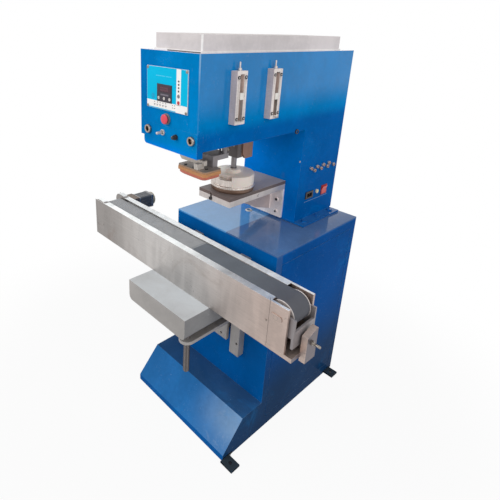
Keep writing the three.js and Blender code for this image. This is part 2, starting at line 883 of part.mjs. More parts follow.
// Panel frame with its corner screws, the printed overlay sits in its recess
function controlPlate() {
  const y1 = headFrontY;
  const y0 = headFrontY - plateThick;
  let plate = block(-plateHalf, plateHalf, y0, y1, plateBottomZ, plateTopZ);
  const recess = block(-plateHalf + plateRim, plateHalf - plateRim, y0 - cutOver, y0 + overlayThick,
    plateBottomZ + plateRim, plateTopZ - plateRim);
  plate = cut(plate, recess);
  for (const side of sides) {
    for (const z of [plateBottomZ + plateRim, plateTopZ - plateRim]) {
      plate = plate.add(barY(side * (plateHalf - plateRim), z, y0 - overlayThick, y1, screwHead, smallSides));
    }
  }
  return plate;
}

// Printed overlay with its lamp windows and two membrane pads
function controlOverlay() {
  const y0 = headFrontY - plateThick;
  const y1 = y0 + overlayThick;
  let film = block(-plateHalf + plateRim, plateHalf - plateRim, y0, y1,
    plateBottomZ + plateRim, plateTopZ - plateRim);
  for (const z of lampZs) {
    film = film.add(barY(lampX, z, y0 - lampOut, y1, lampRadius, smallSides));
  }
  padXs.forEach((x, i) => {
    film = film.add(barY(x, padZs[i], y0 - lampOut, y1, padRadius, midSides));
  });
  const through = [block(displayLeftX, displayRightX, y0 - cutOver, y1 + cutOver, displayBottomZ, displayTopZ)];
  for (const side of sides) {
    for (const z of [plateBottomZ + plateRim, plateTopZ - plateRim]) {
      through.push(barY(side * (plateHalf - plateRim), z, y0 - cutOver, y1 + cutOver, screwHead, smallSides));
    }
  }
  return cut(film, ...through);
}

// Display module of the counter, with the holes its keys stand in
function controlDisplay() {
  const y0 = headFrontY - plateThick;
  const module = block(displayLeftX, displayRightX, y0 - displayOut, y0 + overlayThick,
    displayBottomZ, displayTopZ);
  const holes = keyXs.map((x) => barY(x, keyZ, y0 - cutOver, y0 + cutOver, keyRadius + runningGap, midSides));
  return cut(module, ...holes);
}

// Round key that dips into the display module
function panelKey(x) {
  const y0 = headFrontY - plateThick - keyOut;
  const y1 = headFrontY - plateThick + overlayThick - keyTravel - keySlack;
  return turnedY(x, keyZ, [[0, y0], [keyRadius - keyTravel, y0], [keyRadius, y0 + keyTravel],
    [keyRadius, y1], [0, y1]], midSides);
}

// Stop button with its bezel
function stopBezel() {
  const y1 = headFrontY;
  const y0 = y1 - bezelOut;
  const ring = barY(stopX, stopZ, y0, y1, bezelRadius, midSides);
  const bore = barY(stopX, stopZ, y0 - cutOver, y1 + cutOver, stopStem + runningGap, midSides);
  return cut(ring, bore);
}

function stopButton() {
  const y1 = headFrontY - bezelOut - stopTravel - runningGap;
  const y0 = y1 - stopOut;
  const rim = stopOut * halfShare;
  const end = y1 + stopStemLong;
  return turnedY(stopX, stopZ, [[0, y0], [stopRadius - rim, y0], [stopRadius, y0 + rim], [stopRadius, y1],
    [stopStem, y1], [stopStem, end], [0, end]], midSides);
}

// Guide rods with their front collars and the block that holds their rear ends
function guideRods() {
  const y0 = headFrontY - rodCollarOut;
  const rods = rodXs.map((x) => cut(
    joined(barY(x, rodZ, y0, rodRearY, rodRadius, midSides),
      barY(x, rodZ, y0, headFrontY, rodCollar, midSides)),
    barY(x, rodZ, y0 - cutOver, headFrontY + rodCollarOut, rodSocket, smallSides)));
  const inX = columnHalf - sheet;
  const low = rodZ - rearBlockHigh * halfShare;
  const bar = block(-inX, inX, rearBlockFrontY, rearBlockFrontY + rearBlockDeep, low, low + rearBlockHigh);
  return joined(bar, ...rods);
}

// Toggle lever: a stem with a ball that rocks in its nut
function toggleLever() {
  const y0 = headFrontY - toggleOut;
  const ballY = headFrontY + toggleNut;
  const stem = barY(toggleX, toggleZ, y0, ballY, toggleRadius, smallSides);
  const ball = new THREE.SphereGeometry(toggleBall, smallSides, smallSides * halfShare);
  ball.translate(toggleX, ballY, toggleZ);
  return joined(stem, toSolid(ball));
}

// Speed knob with a stepped grip
function speedKnob() {
  const y1 = headFrontY - runningGap;
  const y0 = headFrontY - knobOut;
  const mid = headFrontY - knobFlange;
  const stem = headFrontY + knobFlange;
  return turnedY(knobX, knobZ, [[0, y0], [knobTip, y0], [knobTip, mid], [knobRadius, mid], [knobRadius, y1],
    [knobTip * halfShare, y1], [knobTip * halfShare, stem], [0, stem]], midSides);
}

// Stroke adjuster body with its slot and four screws
function adjusterBody(y) {
  const x0 = columnHalf;
  const x1 = columnHalf + adjusterOut;
  let bar = block(x0, x1, y - adjusterHalf, y + adjusterHalf, adjusterBottomZ, adjusterTopZ);
  const slot = block(x0 + adjusterBack, x1 + cutOver, y - adjusterSlotHalf, y + adjusterSlotHalf,
    adjusterBottomZ + adjusterWall, adjusterTopZ - adjusterWall);
  const bore = barZ(adjusterScrewX, y, adjusterTopZ - adjusterWall - cutOver, adjusterTopZ + cutOver,
    leadRadius + runningGap, smallSides);
  const seat = barZ(adjusterScrewX, y, adjusterBottomZ + adjusterWall * halfShare,
    adjusterBottomZ + adjusterWall + cutOver, leadRadius + runningGap, smallSides);
  bar = cut(bar, slot, bore, seat);
  const across = (adjusterHalf + adjusterSlotHalf) * halfShare;
  for (const side of sides) {
    for (const z of [adjusterBottomZ + adjusterScrewInset, adjusterTopZ - adjusterScrewInset]) {
      bar = bar.add(barX(y + side * across, z, x1 - screwHead, x1 + screwHeadHigh, screwHead, smallSides));
    }
  }
  return bar;
}

// Lead screw with the collar that stands on the body's top
function adjusterScrew(y) {
  const z0 = adjusterBottomZ + adjusterWall * halfShare + runningGap;
  const low = adjusterTopZ + runningGap;
  return turnedZ(adjusterScrewX, y, [[0, z0], [leadRadius, z0], [leadRadius, low], [leadCollar, low],
    [leadCollar, low + leadCollarHigh], [leadRadius, low + leadCollarHigh], [leadRadius, leadTopZ],
    [0, leadTopZ]], smallSides);
}

// Nut that slides in the slot and shows the setting
function adjusterNut(y, z) {
  const reach = adjusterSlotHalf - runningGap;
  const nut = block(columnHalf + adjusterBack + runningGap, columnHalf + adjusterOut + nutOut,
    y - reach, y + reach, z - nutHigh, z + nutHigh);
  return cut(nut, barZ(adjusterScrewX, y, z - nutHigh - cutOver, z + nutHigh + cutOver,
    leadRadius + runningGap, smallSides));
}

// Bracket on the column's front that carries the plate bed
function plateBracket() {
  const y1 = columnFrontY;
  const y0 = y1 - bracketThick;
  const z0 = cabinetTopZ + flangeThick;
  let frame = block(-bracketHalf, bracketHalf, y0, y1, z0, bracketTopZ);
  const line = [[y1, gussetFootZ], [gussetMidY, gussetMidZ], [gussetUpY, gussetUpZ],
    [gussetTipY, bracketTopZ], [y1, bracketTopZ]];
  for (const side of sides) {
    const a = side * gussetOuter;
    const b = side * (gussetOuter - gussetThick);
    frame = frame.add(pushed(outline(line), Math.min(a, b), Math.max(a, b), 'x'));
    for (const z of bracketScrewZs) {
      frame = frame.add(barY(side * bracketHoleX, z, y0 - screwHead, y1, flangeBolt, smallSides));
    }
  }
  return frame;
}

// Aluminium bed with its clamp slot and side screw
function bedPlate() {
  const bed = block(-bedHalf, bedHalf, bedFrontY, columnFrontY, bedBottomZ, bedTopZ);
  const slot = block(bedSlotX - bedSlotWide * halfShare, bedSlotX + bedSlotWide * halfShare,
    bedFrontY - cutOver, bedFrontY + bedSlotDeep, bedBottomZ + screwHeadHigh, bedTopZ + cutOver);
  const middle = (bedBottomZ + bedTopZ) * halfShare;
  const screw = barX(bedScrewY, middle, bedHalf - screwHead, bedHalf + screwHeadHigh, screwHead, smallSides);
  return joined(cut(bed, slot), screw);
}

// Steel printing plate with the clamp notch in its front edge
function clichePlate() {
  const plate = block(-bedHalf, bedHalf, bedFrontY, columnFrontY, bedTopZ, clicheTopZ);
  const notch = block(bedSlotX - bedSlotWide * halfShare, bedSlotX + bedSlotWide * halfShare,
    bedFrontY - cutOver, bedFrontY + screwHead, bedTopZ - cutOver, bedSlotTopZ);
  return cut(plate, notch);
}

// Carriage block that runs on the guide rods, with the shuttle rod in its lug
function carriageBlock() {
  let bar = block(carriageLeftX, carriageRightX, carriageFrontY, carriageRearY, carriageBottomZ, carriageTopZ);
  const lug = block(shuttleX - shuttleLugX, shuttleX + shuttleLugX,
    carriageRearY - shuttleLugDeep, carriageRearY, carriageTopZ - cutOver, shuttleLugTopZ);
  const rod = barY(shuttleX, shuttleZ, carriageRearY - cutOver, shuttleRodEndY, shuttleRodRadius, midSides);
  bar = joined(bar, lug, rod);
  const y0 = carriageFrontY - cutOver;
  const y1 = carriageRearY + cutOver;
  const bores = rodXs.map((x) => barY(x, rodZ, y0, y1, rodRadius + runningGap, midSides));
  const z0 = carriageBottomZ - cutOver;
  const z1 = carriageTopZ + cutOver;
  bores.push(barZ(pistonX, pistonY, z0, z1, pistonRadius + runningGap, midSides));
  bores.push(barZ(guideX, guideY, z0, z1, guideRadius + runningGap, smallSides));
  return cut(bar, ...bores);
}

// Pad cylinder standing on the carriage
function padCylinder() {
  const cap = cylinderRadius + screwHead;
  const capHigh = carriageBottomZ - headSideBottomZ + screwHead;
  const body = turnedZ(pistonX, pistonY, [[0, carriageTopZ], [cap, carriageTopZ], [cap, carriageTopZ + capHigh],
    [cylinderRadius, carriageTopZ + capHigh], [cylinderRadius, cylinderTopZ - capHigh],
    [cap, cylinderTopZ - capHigh], [cap, cylinderTopZ], [0, cylinderTopZ]], midSides);
  return cut(body, barZ(pistonX, pistonY, carriageTopZ - cutOver, cylinderTopZ - capHigh,
    pistonRadius + runningGap, midSides));
}

// Pad block, relieved at the rear to clear the cup, with its piston rod, guide post and stop stud
function padBlock() {
  const reliefY = padBlockRearY - padReliefDeep;
  const line = [[padBlockFrontY, padBlockBottomZ], [reliefY, padBlockBottomZ], [reliefY, padReliefTopZ],
    [padBlockRearY, padReliefTopZ], [padBlockRearY, padBlockTopZ], [padBlockFrontY, padBlockTopZ]];
  const bar = pushed(outline(line), padBlockLeftX, padBlockRightX, 'x');
  const rodTop = carriageTopZ + padStroke + pistonRadius;
  const rod = barZ(pistonX, pistonY, padBlockTopZ - cutOver, rodTop, pistonRadius, midSides);
  const post = barZ(guideX, guideY, padBlockTopZ - cutOver, guideTopZ, guideRadius, smallSides);
  const stud = barZ(studX, pistonY, padBlockTopZ - cutOver, carriageBottomZ - studRadius,
    studRadius, smallSides);
  return joined(bar, rod, post, stud);
}

// Crossbar, jaw and screwed plate that hold the pad's base
function padClamp() {
  const barLine = [[crossbarLeftX + crossbarChamfer, crossbarBottomZ], [crossbarRightX, crossbarBottomZ],
    [crossbarRightX, crossbarTopZ], [crossbarLeftX, crossbarTopZ],
    [crossbarLeftX, crossbarBottomZ + crossbarChamfer]];
  const bar = pushed(outline(barLine), crossbarFrontY, crossbarRearY, 'y');
  const plateTop = padBaseTopZ + clampPlate;
  const line = chamfered(padBaseLeftX + clampInset, padBaseRightX - clampInset, padBaseFrontY + clampInset,
    padBaseRearY - clampInset, padBaseCorner);
  const seat = block(padBlockLeftX, padBlockRightX, padBlockFrontY, padBaseRearY + cutOver,
    padBaseTopZ - cutOver, plateTop + cutOver);
  const plate = cut(pushed(line, padBaseTopZ, plateTop, 'z'), seat);
  const jaw = block(jawLeftX, jawRightX, jawFrontY, jawRearY, padBaseTopZ, padBaseTopZ + jawHigh);
  const screws = clampScrews.map(([x, y]) => barZ(x, y, padBaseTopZ + clampInset, plateTop + screwHeadHigh,
    screwHead, smallSides));
  return joined(bar, plate, jaw, ...screws);
}

// Wooden base of the printing pad
function padBase() {
  return pushed(chamfered(padBaseLeftX, padBaseRightX, padBaseFrontY, padBaseRearY, padBaseCorner),
    padBaseTopZ - padBaseThick, padBaseTopZ, 'z');
}

// Silicone pad: a shallow dome on the wooden base
function siliconePad() {
  const top = padBaseTopZ - padBaseThick;
  const middle = (padBaseFrontY + padBaseRearY) * halfShare;
  const halfY = (padBaseRearY - padBaseFrontY) * halfShare - siliconeInset;
  const centre = (padBaseLeftX + padBaseRightX) * halfShare;
  const halfX = (padBaseRightX - padBaseLeftX) * halfShare - siliconeInset;
  const rings = [[1, top], [1, siliconeRimZ]];
  for (let i = 1; i < siliconeRings; i += 1) {
    const turn = quarterTurn * i / siliconeRings;
    rings.push([Math.cos(turn), siliconeRimZ - (siliconeRimZ - siliconeBottomZ) * Math.sin(turn)]);
  }
  const layers = rings.map(([share, z]) => {
    const shape = rounded(-halfX * share, halfX * share, -halfY * share, halfY * share,
      [halfY * share, halfY * share, halfY * share, halfY * share].map((r) => r * padRoundShare));
    return shape.getPoints(cornerSteps).map((p) => [centre + p.x, middle + p.y, z]);
  });
  return lofted(layers, [centre, middle, siliconeBottomZ]);
}

// Closed solid through stacked loops, flat on top and ending in a point below
function lofted(layers, tip) {
  const count = layers[0].length;
  const points = layers.flat();
  const topCentre = points.length;
  const first = layers[0];
  points.push([0, tip[1], first[0][coordinates - 1]]);
  const tipIndex = points.length;
  points.push(tip);
  const corners = [];
  for (let k = 0; k + 1 < layers.length; k += 1) {
    for (let i = 0; i < count; i += 1) {
      const j = (i + 1) % count;
      const a = k * count + i;
      const b = k * count + j;
      const c = a + count;
      const d = b + count;
      corners.push(a, c, b, b, c, d);
    }
  }
  const last = (layers.length - 1) * count;
  for (let i = 0; i < count; i += 1) {
    const j = (i + 1) % count;
    corners.push(topCentre, i, j, last + j, last + i, tipIndex);
  }
  const shape = new THREE.BufferGeometry();
  shape.setAttribute('position', new THREE.BufferAttribute(new Float32Array(points.flat()), coordinates));
  shape.setIndex(corners);
  return toSolid(shape);
}

// Ink cup: contact ring, polished cup, white cap and the spindle that presses it down
function cupWiper() {
  const mid = (clicheTopZ + wiperTopZ) * halfShare;
  const inner = wiperInner;
  return turnedZ(cupX, cupY, [[inner, clicheTopZ], [wiperRadius - sheet, clicheTopZ], [wiperRadius, mid],
    [wiperRadius, wiperTopZ], [inner, wiperTopZ], [inner, clicheTopZ]], fineSides);
}

function cupBody() {
  const roofZ = cupWallTopZ - cupRoof;
  return turnedZ(cupX, cupY, [[wiperInner, wiperTopZ], [cupFlange, wiperTopZ], [cupFlange, cupFlangeTopZ],
    [cupWall, cupFlangeTopZ], [cupWall, cupWallTopZ], [0, cupWallTopZ], [0, roofZ], [wiperInner, roofZ],
    [wiperInner, wiperTopZ]], fineSides);
}

function cupCap() {
  const inner = cupWall + runningGap;
  const whole = turnedZ(cupX, cupY, [[inner, cupFlangeTopZ], [capRadius, cupFlangeTopZ],
    [capRadius, capTopZ - sheet], [capRadius - sheet, capTopZ], [bossRadius, capTopZ], [bossRadius, bossTopZ],
    [0, bossTopZ], [0, cupWallTopZ], [inner, cupWallTopZ], [inner, cupFlangeTopZ]], fineSides);
  const wedge = new THREE.Shape();
  wedge.moveTo(0, 0);
  for (const turn of [capCutFrom, (capCutFrom + capCutTo) * halfShare, capCutTo]) {
    const reach = capRadius * capWedgeShare;
    wedge.lineTo(reach * Math.cos(turn), reach * Math.sin(turn));
  }
  const ring = cut(pushed(wedge, cupFlangeTopZ - cutOver, capTopZ + cutOver, 'z'),
    barZ(0, 0, cupFlangeTopZ - cutOver - cutOver, capTopZ + cutOver + cutOver, capStepRadius, midSides));
  return cut(whole, ring.translate([cupX, cupY, 0]));
}

function cupSpindlePiece() {
  return turnedZ(cupX, cupY, [[0, bossTopZ], [cupNut, bossTopZ], [cupNut, bossTopZ + cupNutHigh],
    [cupSpindle, bossTopZ + cupNutHigh], [cupSpindle, holderBottomZ], [0, holderBottomZ]], midSides);
}

// Holder that hangs from the carriage and pushes the cup
function cupHolder() {
  const arm = block(holderLeftX, holderRightX, holderFrontY, holderRearY, holderBottomZ, carriageBottomZ);
  const line = [[holderRearY - cutOver, holderBottomZ + holderPlateChamfer],
    [holderRearY - cutOver + holderPlateChamfer, holderBottomZ - cutOver],
    [holderPlateRearY, holderBottomZ - cutOver], [holderPlateRearY, carriageBottomZ],
    [holderRearY - cutOver, carriageBottomZ]];
  const plate = pushed(outline(line), holderRightX - cutOver, holderPlateRightX, 'x');
  const fittingY = holderRearY + fittingRadius - screwHead;
  const fittingZ = holderBottomZ + holderPlateChamfer + fittingRadius;
  const fitting = barX(fittingY, fittingZ, holderLeftX + fittingRadius, holderRightX - screwHeadHigh,
    fittingRadius, smallSides);
  return joined(arm, plate, fitting);
}

// Shuttle cylinder fixed in the column, with its mounting foot
function shuttleCylinder() {
  const body = barY(shuttleX, shuttleZ, shuttleFrontY, shuttleRearY, shuttleRadius, midSides);
  const reach = cabinetDepth - sheet;
  const foot = block(shuttleX - shuttleRadius, shuttleX + shuttleRadius, shuttleRearY - cutOver, reach,
    shuttleZ - shuttleMountHigh * halfShare, shuttleZ + shuttleMountHigh * halfShare);
  const bore = barY(shuttleX, shuttleZ, shuttleFrontY - cutOver, shuttleRearY - shuttleRadius,
    shuttleRodRadius + runningGap, midSides);
  return cut(joined(body, foot), bore);
}

// Manifold inside the wall with eight push-in fittings
function airFittings() {
  const inX = columnHalf - sheet;
  const middle = (fittingTopZ + fittingLowZ) * halfShare;
  let bar = block(inX - manifoldDeep, inX, manifoldFrontY, manifoldRearY,
    middle - manifoldHalfHigh, middle + manifoldHalfHigh);
  const bores = [];
  for (const [row, z] of [[fittingYsTop, fittingTopZ], [fittingYsLow, fittingLowZ]]) {
    for (const y of row) {
      bar = bar.add(barX(y, z, inX - cutOver, columnHalf + pushFittingOut, pushFitting, smallSides));
      bores.push(barX(y, z, inX, columnHalf + pushFittingOut + cutOver, pushFittingBore, smallSides));
    }
  }
  return cut(bar, ...bores);
}

// Inlet, fuse holder and switch frame on one inner carrier
function electrics() {
  const inX = columnHalf - sheet;
  const backX = inX - electricsStand - electricsBack;
  const carrier = block(backX, backX + electricsBack, inletY - inletHalfWide, switchY + switchHalf,
    switchZ - switchHalf, switchZ + switchHalf);
  const wide = inletHalfWide - inletOut - runningGap;
  const high = inletHalfHigh - inletOut * halfShare - runningGap;
  const neck = block(backX, columnHalf, inletY - wide, inletY + wide, inletZ - high, inletZ + high);
  const rim = block(columnHalf, columnHalf + inletOut, inletY - inletHalfWide, inletY + inletHalfWide,
    inletZ - inletHalfHigh, inletZ + inletHalfHigh);
  const wellWide = wide - inletOut;
  const wellHigh = high - inletOut;
  const well = block(columnHalf - inletWell, columnHalf + inletOut + cutOver,
    inletY - wellWide, inletY + wellWide, inletZ - wellHigh, inletZ + wellHigh);
  const fuse = joined(barX(fuseY, fuseZ, backX, columnHalf + fuseOut, fuseRadius - screwHeadHigh, smallSides),
    barX(fuseY, fuseZ, columnHalf, columnHalf + fuseOut, fuseRadius, midSides));
  const hole = switchHalf - switchOut - runningGap;
  const body = block(backX, columnHalf, switchY - hole, switchY + hole, switchZ - hole, switchZ + hole);
  const frame = block(columnHalf, columnHalf + switchOut, switchY - switchHalf, switchY + switchHalf,
    switchZ - switchHalf, switchZ + switchHalf);
  const wideCut = rockerHalfWide + runningGap + runningGap;
  const pocket = block(columnHalf - rockerDeep - screwHead, columnHalf + switchOut + cutOver,
    switchY - wideCut, switchY + wideCut, switchZ - wideCut, switchZ + wideCut);
  return cut(joined(carrier, neck, rim, fuse, body, frame), well, pocket);
}

// Rocker of the power switch, tipped to its off side
function powerRocker() {
  const lineX = columnHalf + switchOut;
  const tail = rockerHalfWide - rockerCrest;
  const line = outline([[-rockerDeep, -tail], [-rockerDeep, tail],
    [-switchOut, rockerHalfHigh], [switchOut, rockerHalfHigh], [0, 0],
    [switchOut, -rockerHalfHigh], [-switchOut, -rockerHalfHigh]]);
  const body = pushed(line, switchY - rockerHalfWide, switchY + rockerHalfWide, 'y');
  const tilt = rockerTilt * fullTurnDegrees / fullTurn;
  return body.rotate([0, tilt, 0]).translate([lineX, 0, switchZ]);
}

// Valve block on the column's rear wall
function valveBlock() {
  const reach = cabinetDepth - sheet;
  const base = block(-valveHalf, valveHalf, reach - valveDeep * halfShare, reach,
    valveBottomZ, valveBottomZ + valveHigh);
  const start = -valvePitch * (valveCount - 1) * halfShare;
  let bank = base;
  for (let i = 0; i < valveCount; i += 1) {
    const x = start + valvePitch * i;
    const low = valveBottomZ + screwHead;
    bank = bank.add(block(x - valveWide * halfShare, x + valveWide * halfShare,
      reach - valveDeep - valveDeep, reach - valveDeep * halfShare + cutOver, low, low + valveBodyHigh));
  }
  return bank;
}

// Belt line: height of the belt's outside at one X, on its straight runs
function beltHeight(x, direction) {
  const z0 = driveZ + direction * (driveRadius + beltThick + runningGap);
  const z1 = idlerZ + direction * (idlerRadius + beltThick + runningGap);
  return z0 + (z1 - z0) * (x - driveX) / (idlerX - driveX);
}

// Loop round both rollers, at one distance from them
function beltLoop(gap) {
  const r0 = driveRadius + gap;
  const r1 = idlerRadius + gap;
  const span = Math.hypot(idlerX - driveX, idlerZ - driveZ);
  const lean = Math.asin((r1 - r0) / span);
  const base = Math.atan2(idlerZ - driveZ, idlerX - driveX);
  const points = [];
  const steps = midSides;
  const arc = (x, z, r, from, to) => {
    for (let i = 0; i <= steps; i += 1) {
      const t = from + (to - from) * i / steps;
      points.push(new THREE.Vector2(x + r * Math.cos(t), z + r * Math.sin(t)));
    }
  };
  arc(idlerX, idlerZ, r1, base - quarterTurn - lean, base + quarterTurn + lean);
  arc(driveX, driveZ, r0, base + quarterTurn + lean, base + quarterTurn * coordinates - lean);
  return points;
}

// Conveyor belt
function conveyorBelt() {
  const loop = new THREE.Shape(beltLoop(beltThick + runningGap));
  loop.holes.push(new THREE.Path(beltLoop(runningGap).reverse()));
  return pushed(loop, beltFrontY, beltRearY, 'y');
}

// Slider bed under the belt's top run
function beltBed() {
  const drop = beltThick + runningGap + runningGap;
  const z0 = beltHeight(bedPlateLeftX, upSide) - drop;
  const z1 = beltHeight(bedPlateRightX, upSide) - drop;
  const line = [[bedPlateLeftX, z0 - bedPlateThick], [bedPlateRightX, z1 - bedPlateThick],
    [bedPlateRightX, z1], [bedPlateLeftX, z0]];
  return pushed(outline(line), conveyorFrontY + conveyorSheet, conveyorRearY - conveyorSheet, 'y');
}

// Long conveyor side with its top flange, left bearing cheek and axle hole
function conveyorSide(front) {
  const y0 = front ? conveyorFrontY : conveyorRearY - conveyorSheet;
  const y1 = y0 + conveyorSheet;
  const right = front ? seamFrontX : seamRearX;
  const f0 = front ? conveyorFrontY : conveyorRearY - flangeWide;
  const wall = block(conveyorLeftX, right, y0, y1, conveyorBottomZ, conveyorTopZ);
  const flange = block(flangeStartX, right, f0, f0 + flangeWide, conveyorTopZ - conveyorSheet, conveyorTopZ);
  const c0 = front ? y1 - conveyorSheet * halfShare : conveyorRearY - flangeWide + conveyorSheet;
  const c1 = front ? conveyorFrontY + flangeWide - conveyorSheet : y0 + conveyorSheet * halfShare;
  const cheekTop = conveyorTopZ + cheekRise;
  const cheekRadii = [0, 0, cheekRadius, cheekRadius];
  const cheekShape = rounded(conveyorLeftX, flangeStartX, cheekBottomZ, cheekTop, cheekRadii);
  const cheek = pushed(cheekShape, c0, c1, 'y');
  let side = joined(wall, flange, cheek);
  if (front) {
    for (const [x, z] of faceScrews) {
      side = side.add(barY(x, z, y0 - screwHeadHigh * halfShare, y1, screwHead, smallSides));
    }
  }
  const reach0 = front ? conveyorFrontY + conveyorSheet + conveyorSheet : f0 - cutOver;
  const reach1 = front ? conveyorFrontY + flangeWide + cutOver : conveyorRearY + cutOver;
  return cut(side, barY(driveX, driveZ, reach0, reach1, axleRadius + runningGap, midSides));
}

// Right end plate with the slot the idler's axle slides in
function conveyorEnd(front) {
  const y0 = front ? conveyorFrontY : conveyorRearY - endThick;
  const left = front ? seamFrontX : seamRearX;
  const plate = block(left, endRightX, y0, y0 + endThick, conveyorBottomZ + basePlateThick, conveyorTopZ);
  const reach = axleMark + runningGap;
  const slot = block(idlerX - slotHalfLong, idlerX + slotHalfLong, y0 - cutOver, y0 + endThick + cutOver,
    idlerZ - reach, idlerZ + reach);
  return cut(plate, slot);
}

// Conveyor floor with the tension block on its right end
function conveyorBase() {
  const top = conveyorBottomZ + basePlateThick;
  const inner = block(basePlateLeftX, seamFrontX, conveyorFrontY + conveyorSheet, conveyorRearY - conveyorSheet,
    conveyorBottomZ, top);
  const outer = block(seamFrontX, basePlateRightX, conveyorFrontY, conveyorRearY - conveyorSheet,
    conveyorBottomZ, top);
  const line = [[tensionFrontY, tensionBottomZ], [tensionRearY, tensionBottomZ], [tensionRearY, tensionPeakZ],
    [tensionRearY - endThick, tensionPeakZ], [tensionFrontY, tensionTopZ]];
  const stand = pushed(outline(line), tensionLeftX, tensionRightX, 'x');
  const bore = barX(tensionY, tensionZ, tensionLeftX - cutOver, tensionRightX + cutOver,
    tensionRadius + runningGap, midSides);
  return cut(joined(inner, outer, stand), bore);
}

// Drive roller and its axle into the gearhead
function driveRoller() {
  const y0 = conveyorFrontY + conveyorSheet + conveyorSheet + runningGap;
  const y1 = conveyorRearY + gearHalf * halfShare;
  return turnedY(driveX, driveZ, [[0, y0], [axleRadius, y0], [axleRadius, beltFrontY],
    [driveRadius, beltFrontY], [driveRadius, beltRearY], [axleRadius, beltRearY], [axleRadius, y1],
    [0, y1]], fineSides);
}

// Idler roller: a drum with a rim on each side
function idlerRoller() {
  const y0 = beltFrontY - runningGap - idlerRimWide;
  const y1 = beltRearY + runningGap + idlerRimWide;
  const bore = axleRadius + runningGap;
  return turnedY(idlerX, idlerZ, [[bore, y0], [idlerRim, y0], [idlerRim, y0 + idlerRimWide],
    [idlerRadius, y0 + idlerRimWide], [idlerRadius, y1 - idlerRimWide], [idlerRim, y1 - idlerRimWide],
    [idlerRim, y1], [bore, y1], [bore, y0]], fineSides);
}

// Take-up yoke that carries the idler's axle
function takeUpYoke() {
  const x1 = yokePlateX + yokePlateThick;
  const line = [[yokeFrontY, yokeBottomZ], [yokeRearY, yokeBottomZ], [yokeRearY, yokeTopZ],
    [yokeRearY - flangeWide, yokeTopZ], [yokeFrontY, yokeTopZ - cheekRise]];
  const cross = pushed(outline(line), yokePlateX, x1, 'x');
  const armFront = block(yokeLeftX, x1, yokeFrontY, yokeFrontY + yokeArm, yokeArmBottomZ, yokeArmTopZ);
  const armRear = block(yokeLeftX, x1, yokeRearY - yokeArm, yokeRearY, yokeArmBottomZ, yokeArmTopZ);
  const axle = barY(idlerX, idlerZ, yokeFrontY, yokeRearY, axleRadius, midSides);
  const pinFront = barY(idlerX, idlerZ, conveyorFrontY - screwHeadHigh * halfShare, yokeFrontY + yokeArm,
    axleMark, smallSides);
  const pinRear = barY(idlerX, idlerZ, yokeRearY - yokeArm, conveyorRearY, axleMark, smallSides);
  const bore = barX(tensionY, tensionZ, yokePlateX - cutOver, x1 + cutOver,
    tensionRadius + runningGap, midSides);
  return cut(joined(cross, armFront, armRear, axle, pinFront, pinRear), bore);
}

// Take-up screw with its inner nut
function takeUpScrew() {
  const bar = barX(tensionY, tensionZ, yokePlateX - endThick, tensionEndX, tensionRadius, smallSides);
  const nut = barX(tensionY, tensionZ, yokePlateX - endThick, yokePlateX - runningGap,
    tensionRadius + screwHead, hexSides);
  return joined(bar, nut);
}

// Gear motor: square gearhead, square motor and a round end cap
function gearMotor() {
  const gear = block(motorX - gearHalf, motorX + gearHalf, conveyorRearY, gearRearY, motorZ - gearHalf,
    motorZ + gearHalf);
  const radii = [motorEdge, motorEdge, motorEdge, motorEdge];
  const motorShape = rounded(motorX - motorHalf, motorX + motorHalf,
    motorZ - motorHalf, motorZ + motorHalf, radii);
  const motor = pushed(motorShape, gearRearY, motorRearY, 'y');
  const cap = turnedY(motorX, motorZ, [[0, motorRearY], [motorCapRadius + motorLip, motorRearY],
    [motorCapRadius + motorLip, motorRearY + motorNeck], [motorCapRadius, motorCapRearY - motorNeck],
    [motorCapRadius - motorNeck, motorCapRearY], [0, motorCapRearY]], midSides);
  const bore = barY(driveX, driveZ, conveyorRearY - cutOver, conveyorRearY + gearHalf * halfShare + runningGap,
    axleRadius + runningGap, midSides);
  return cut(joined(gear, motor, cap), bore);
}

// Control box under the conveyor: a folded shell with a cable way in its rear
function controlBox() {
  const outer = pushed(rounded(boxLeftX, boxRightX, boxBottomZ, boxTopZ, [boxRadius, boxRadius, 0, 0]),
    boxFrontY, boxRearY, 'y');
  const inner = pushed(rounded(boxLeftX + boxWall, boxRightX - boxWall, boxBottomZ + boxWall, boxTopZ - boxWall,
    [boxRadius - boxWall, boxRadius - boxWall, 0, 0]), boxFrontY + boxWall, boxRearY - boxWall, 'y');
  const bearing = barZ(heightX, armTipY, boxBottomZ - cutOver, boxBottomZ + boxWall + cutOver,
    heightJournal + runningGap, midSides);
  return cut(outer, inner, bearing);
}

// Lift rail with its inner groove and foot hole
function liftRail(side) {
  const x = side * railX;
  const bar = block(x - railHalf, x + railHalf, -railDeep, 0, railBottomZ, railTopZ);
  const edge = x - side * railHalf;
  const a = edge - side * cutOver;
  const b = edge + side * grooveDeep;
  const groove = block(Math.min(a, b), Math.max(a, b), grooveFrontY, grooveRearY,
    railBottomZ - cutOver, railTopZ + cutOver);
  const hole = barY(x + side * railHalf * halfShare, railHoleZ, -railDeep - cutOver, -railDeep * halfShare,
    railHole, smallSides);
  return cut(bar, groove, hole);
}

// Lift slide: the conveyor's back plate with a tongue in each rail
function liftSlide() {
  const plate = block(-slideHalf, slideHalf, conveyorRearY, slideRearY, slideBottomZ, slideTopZ);
  const reach = railX - railHalf + grooveDeep - runningGap - runningGap;
  const tongue = block(-reach, reach, grooveFrontY + runningGap, grooveRearY - runningGap,
    slideBottomZ, slideTopZ);
  return joined(plate, tongue);
}

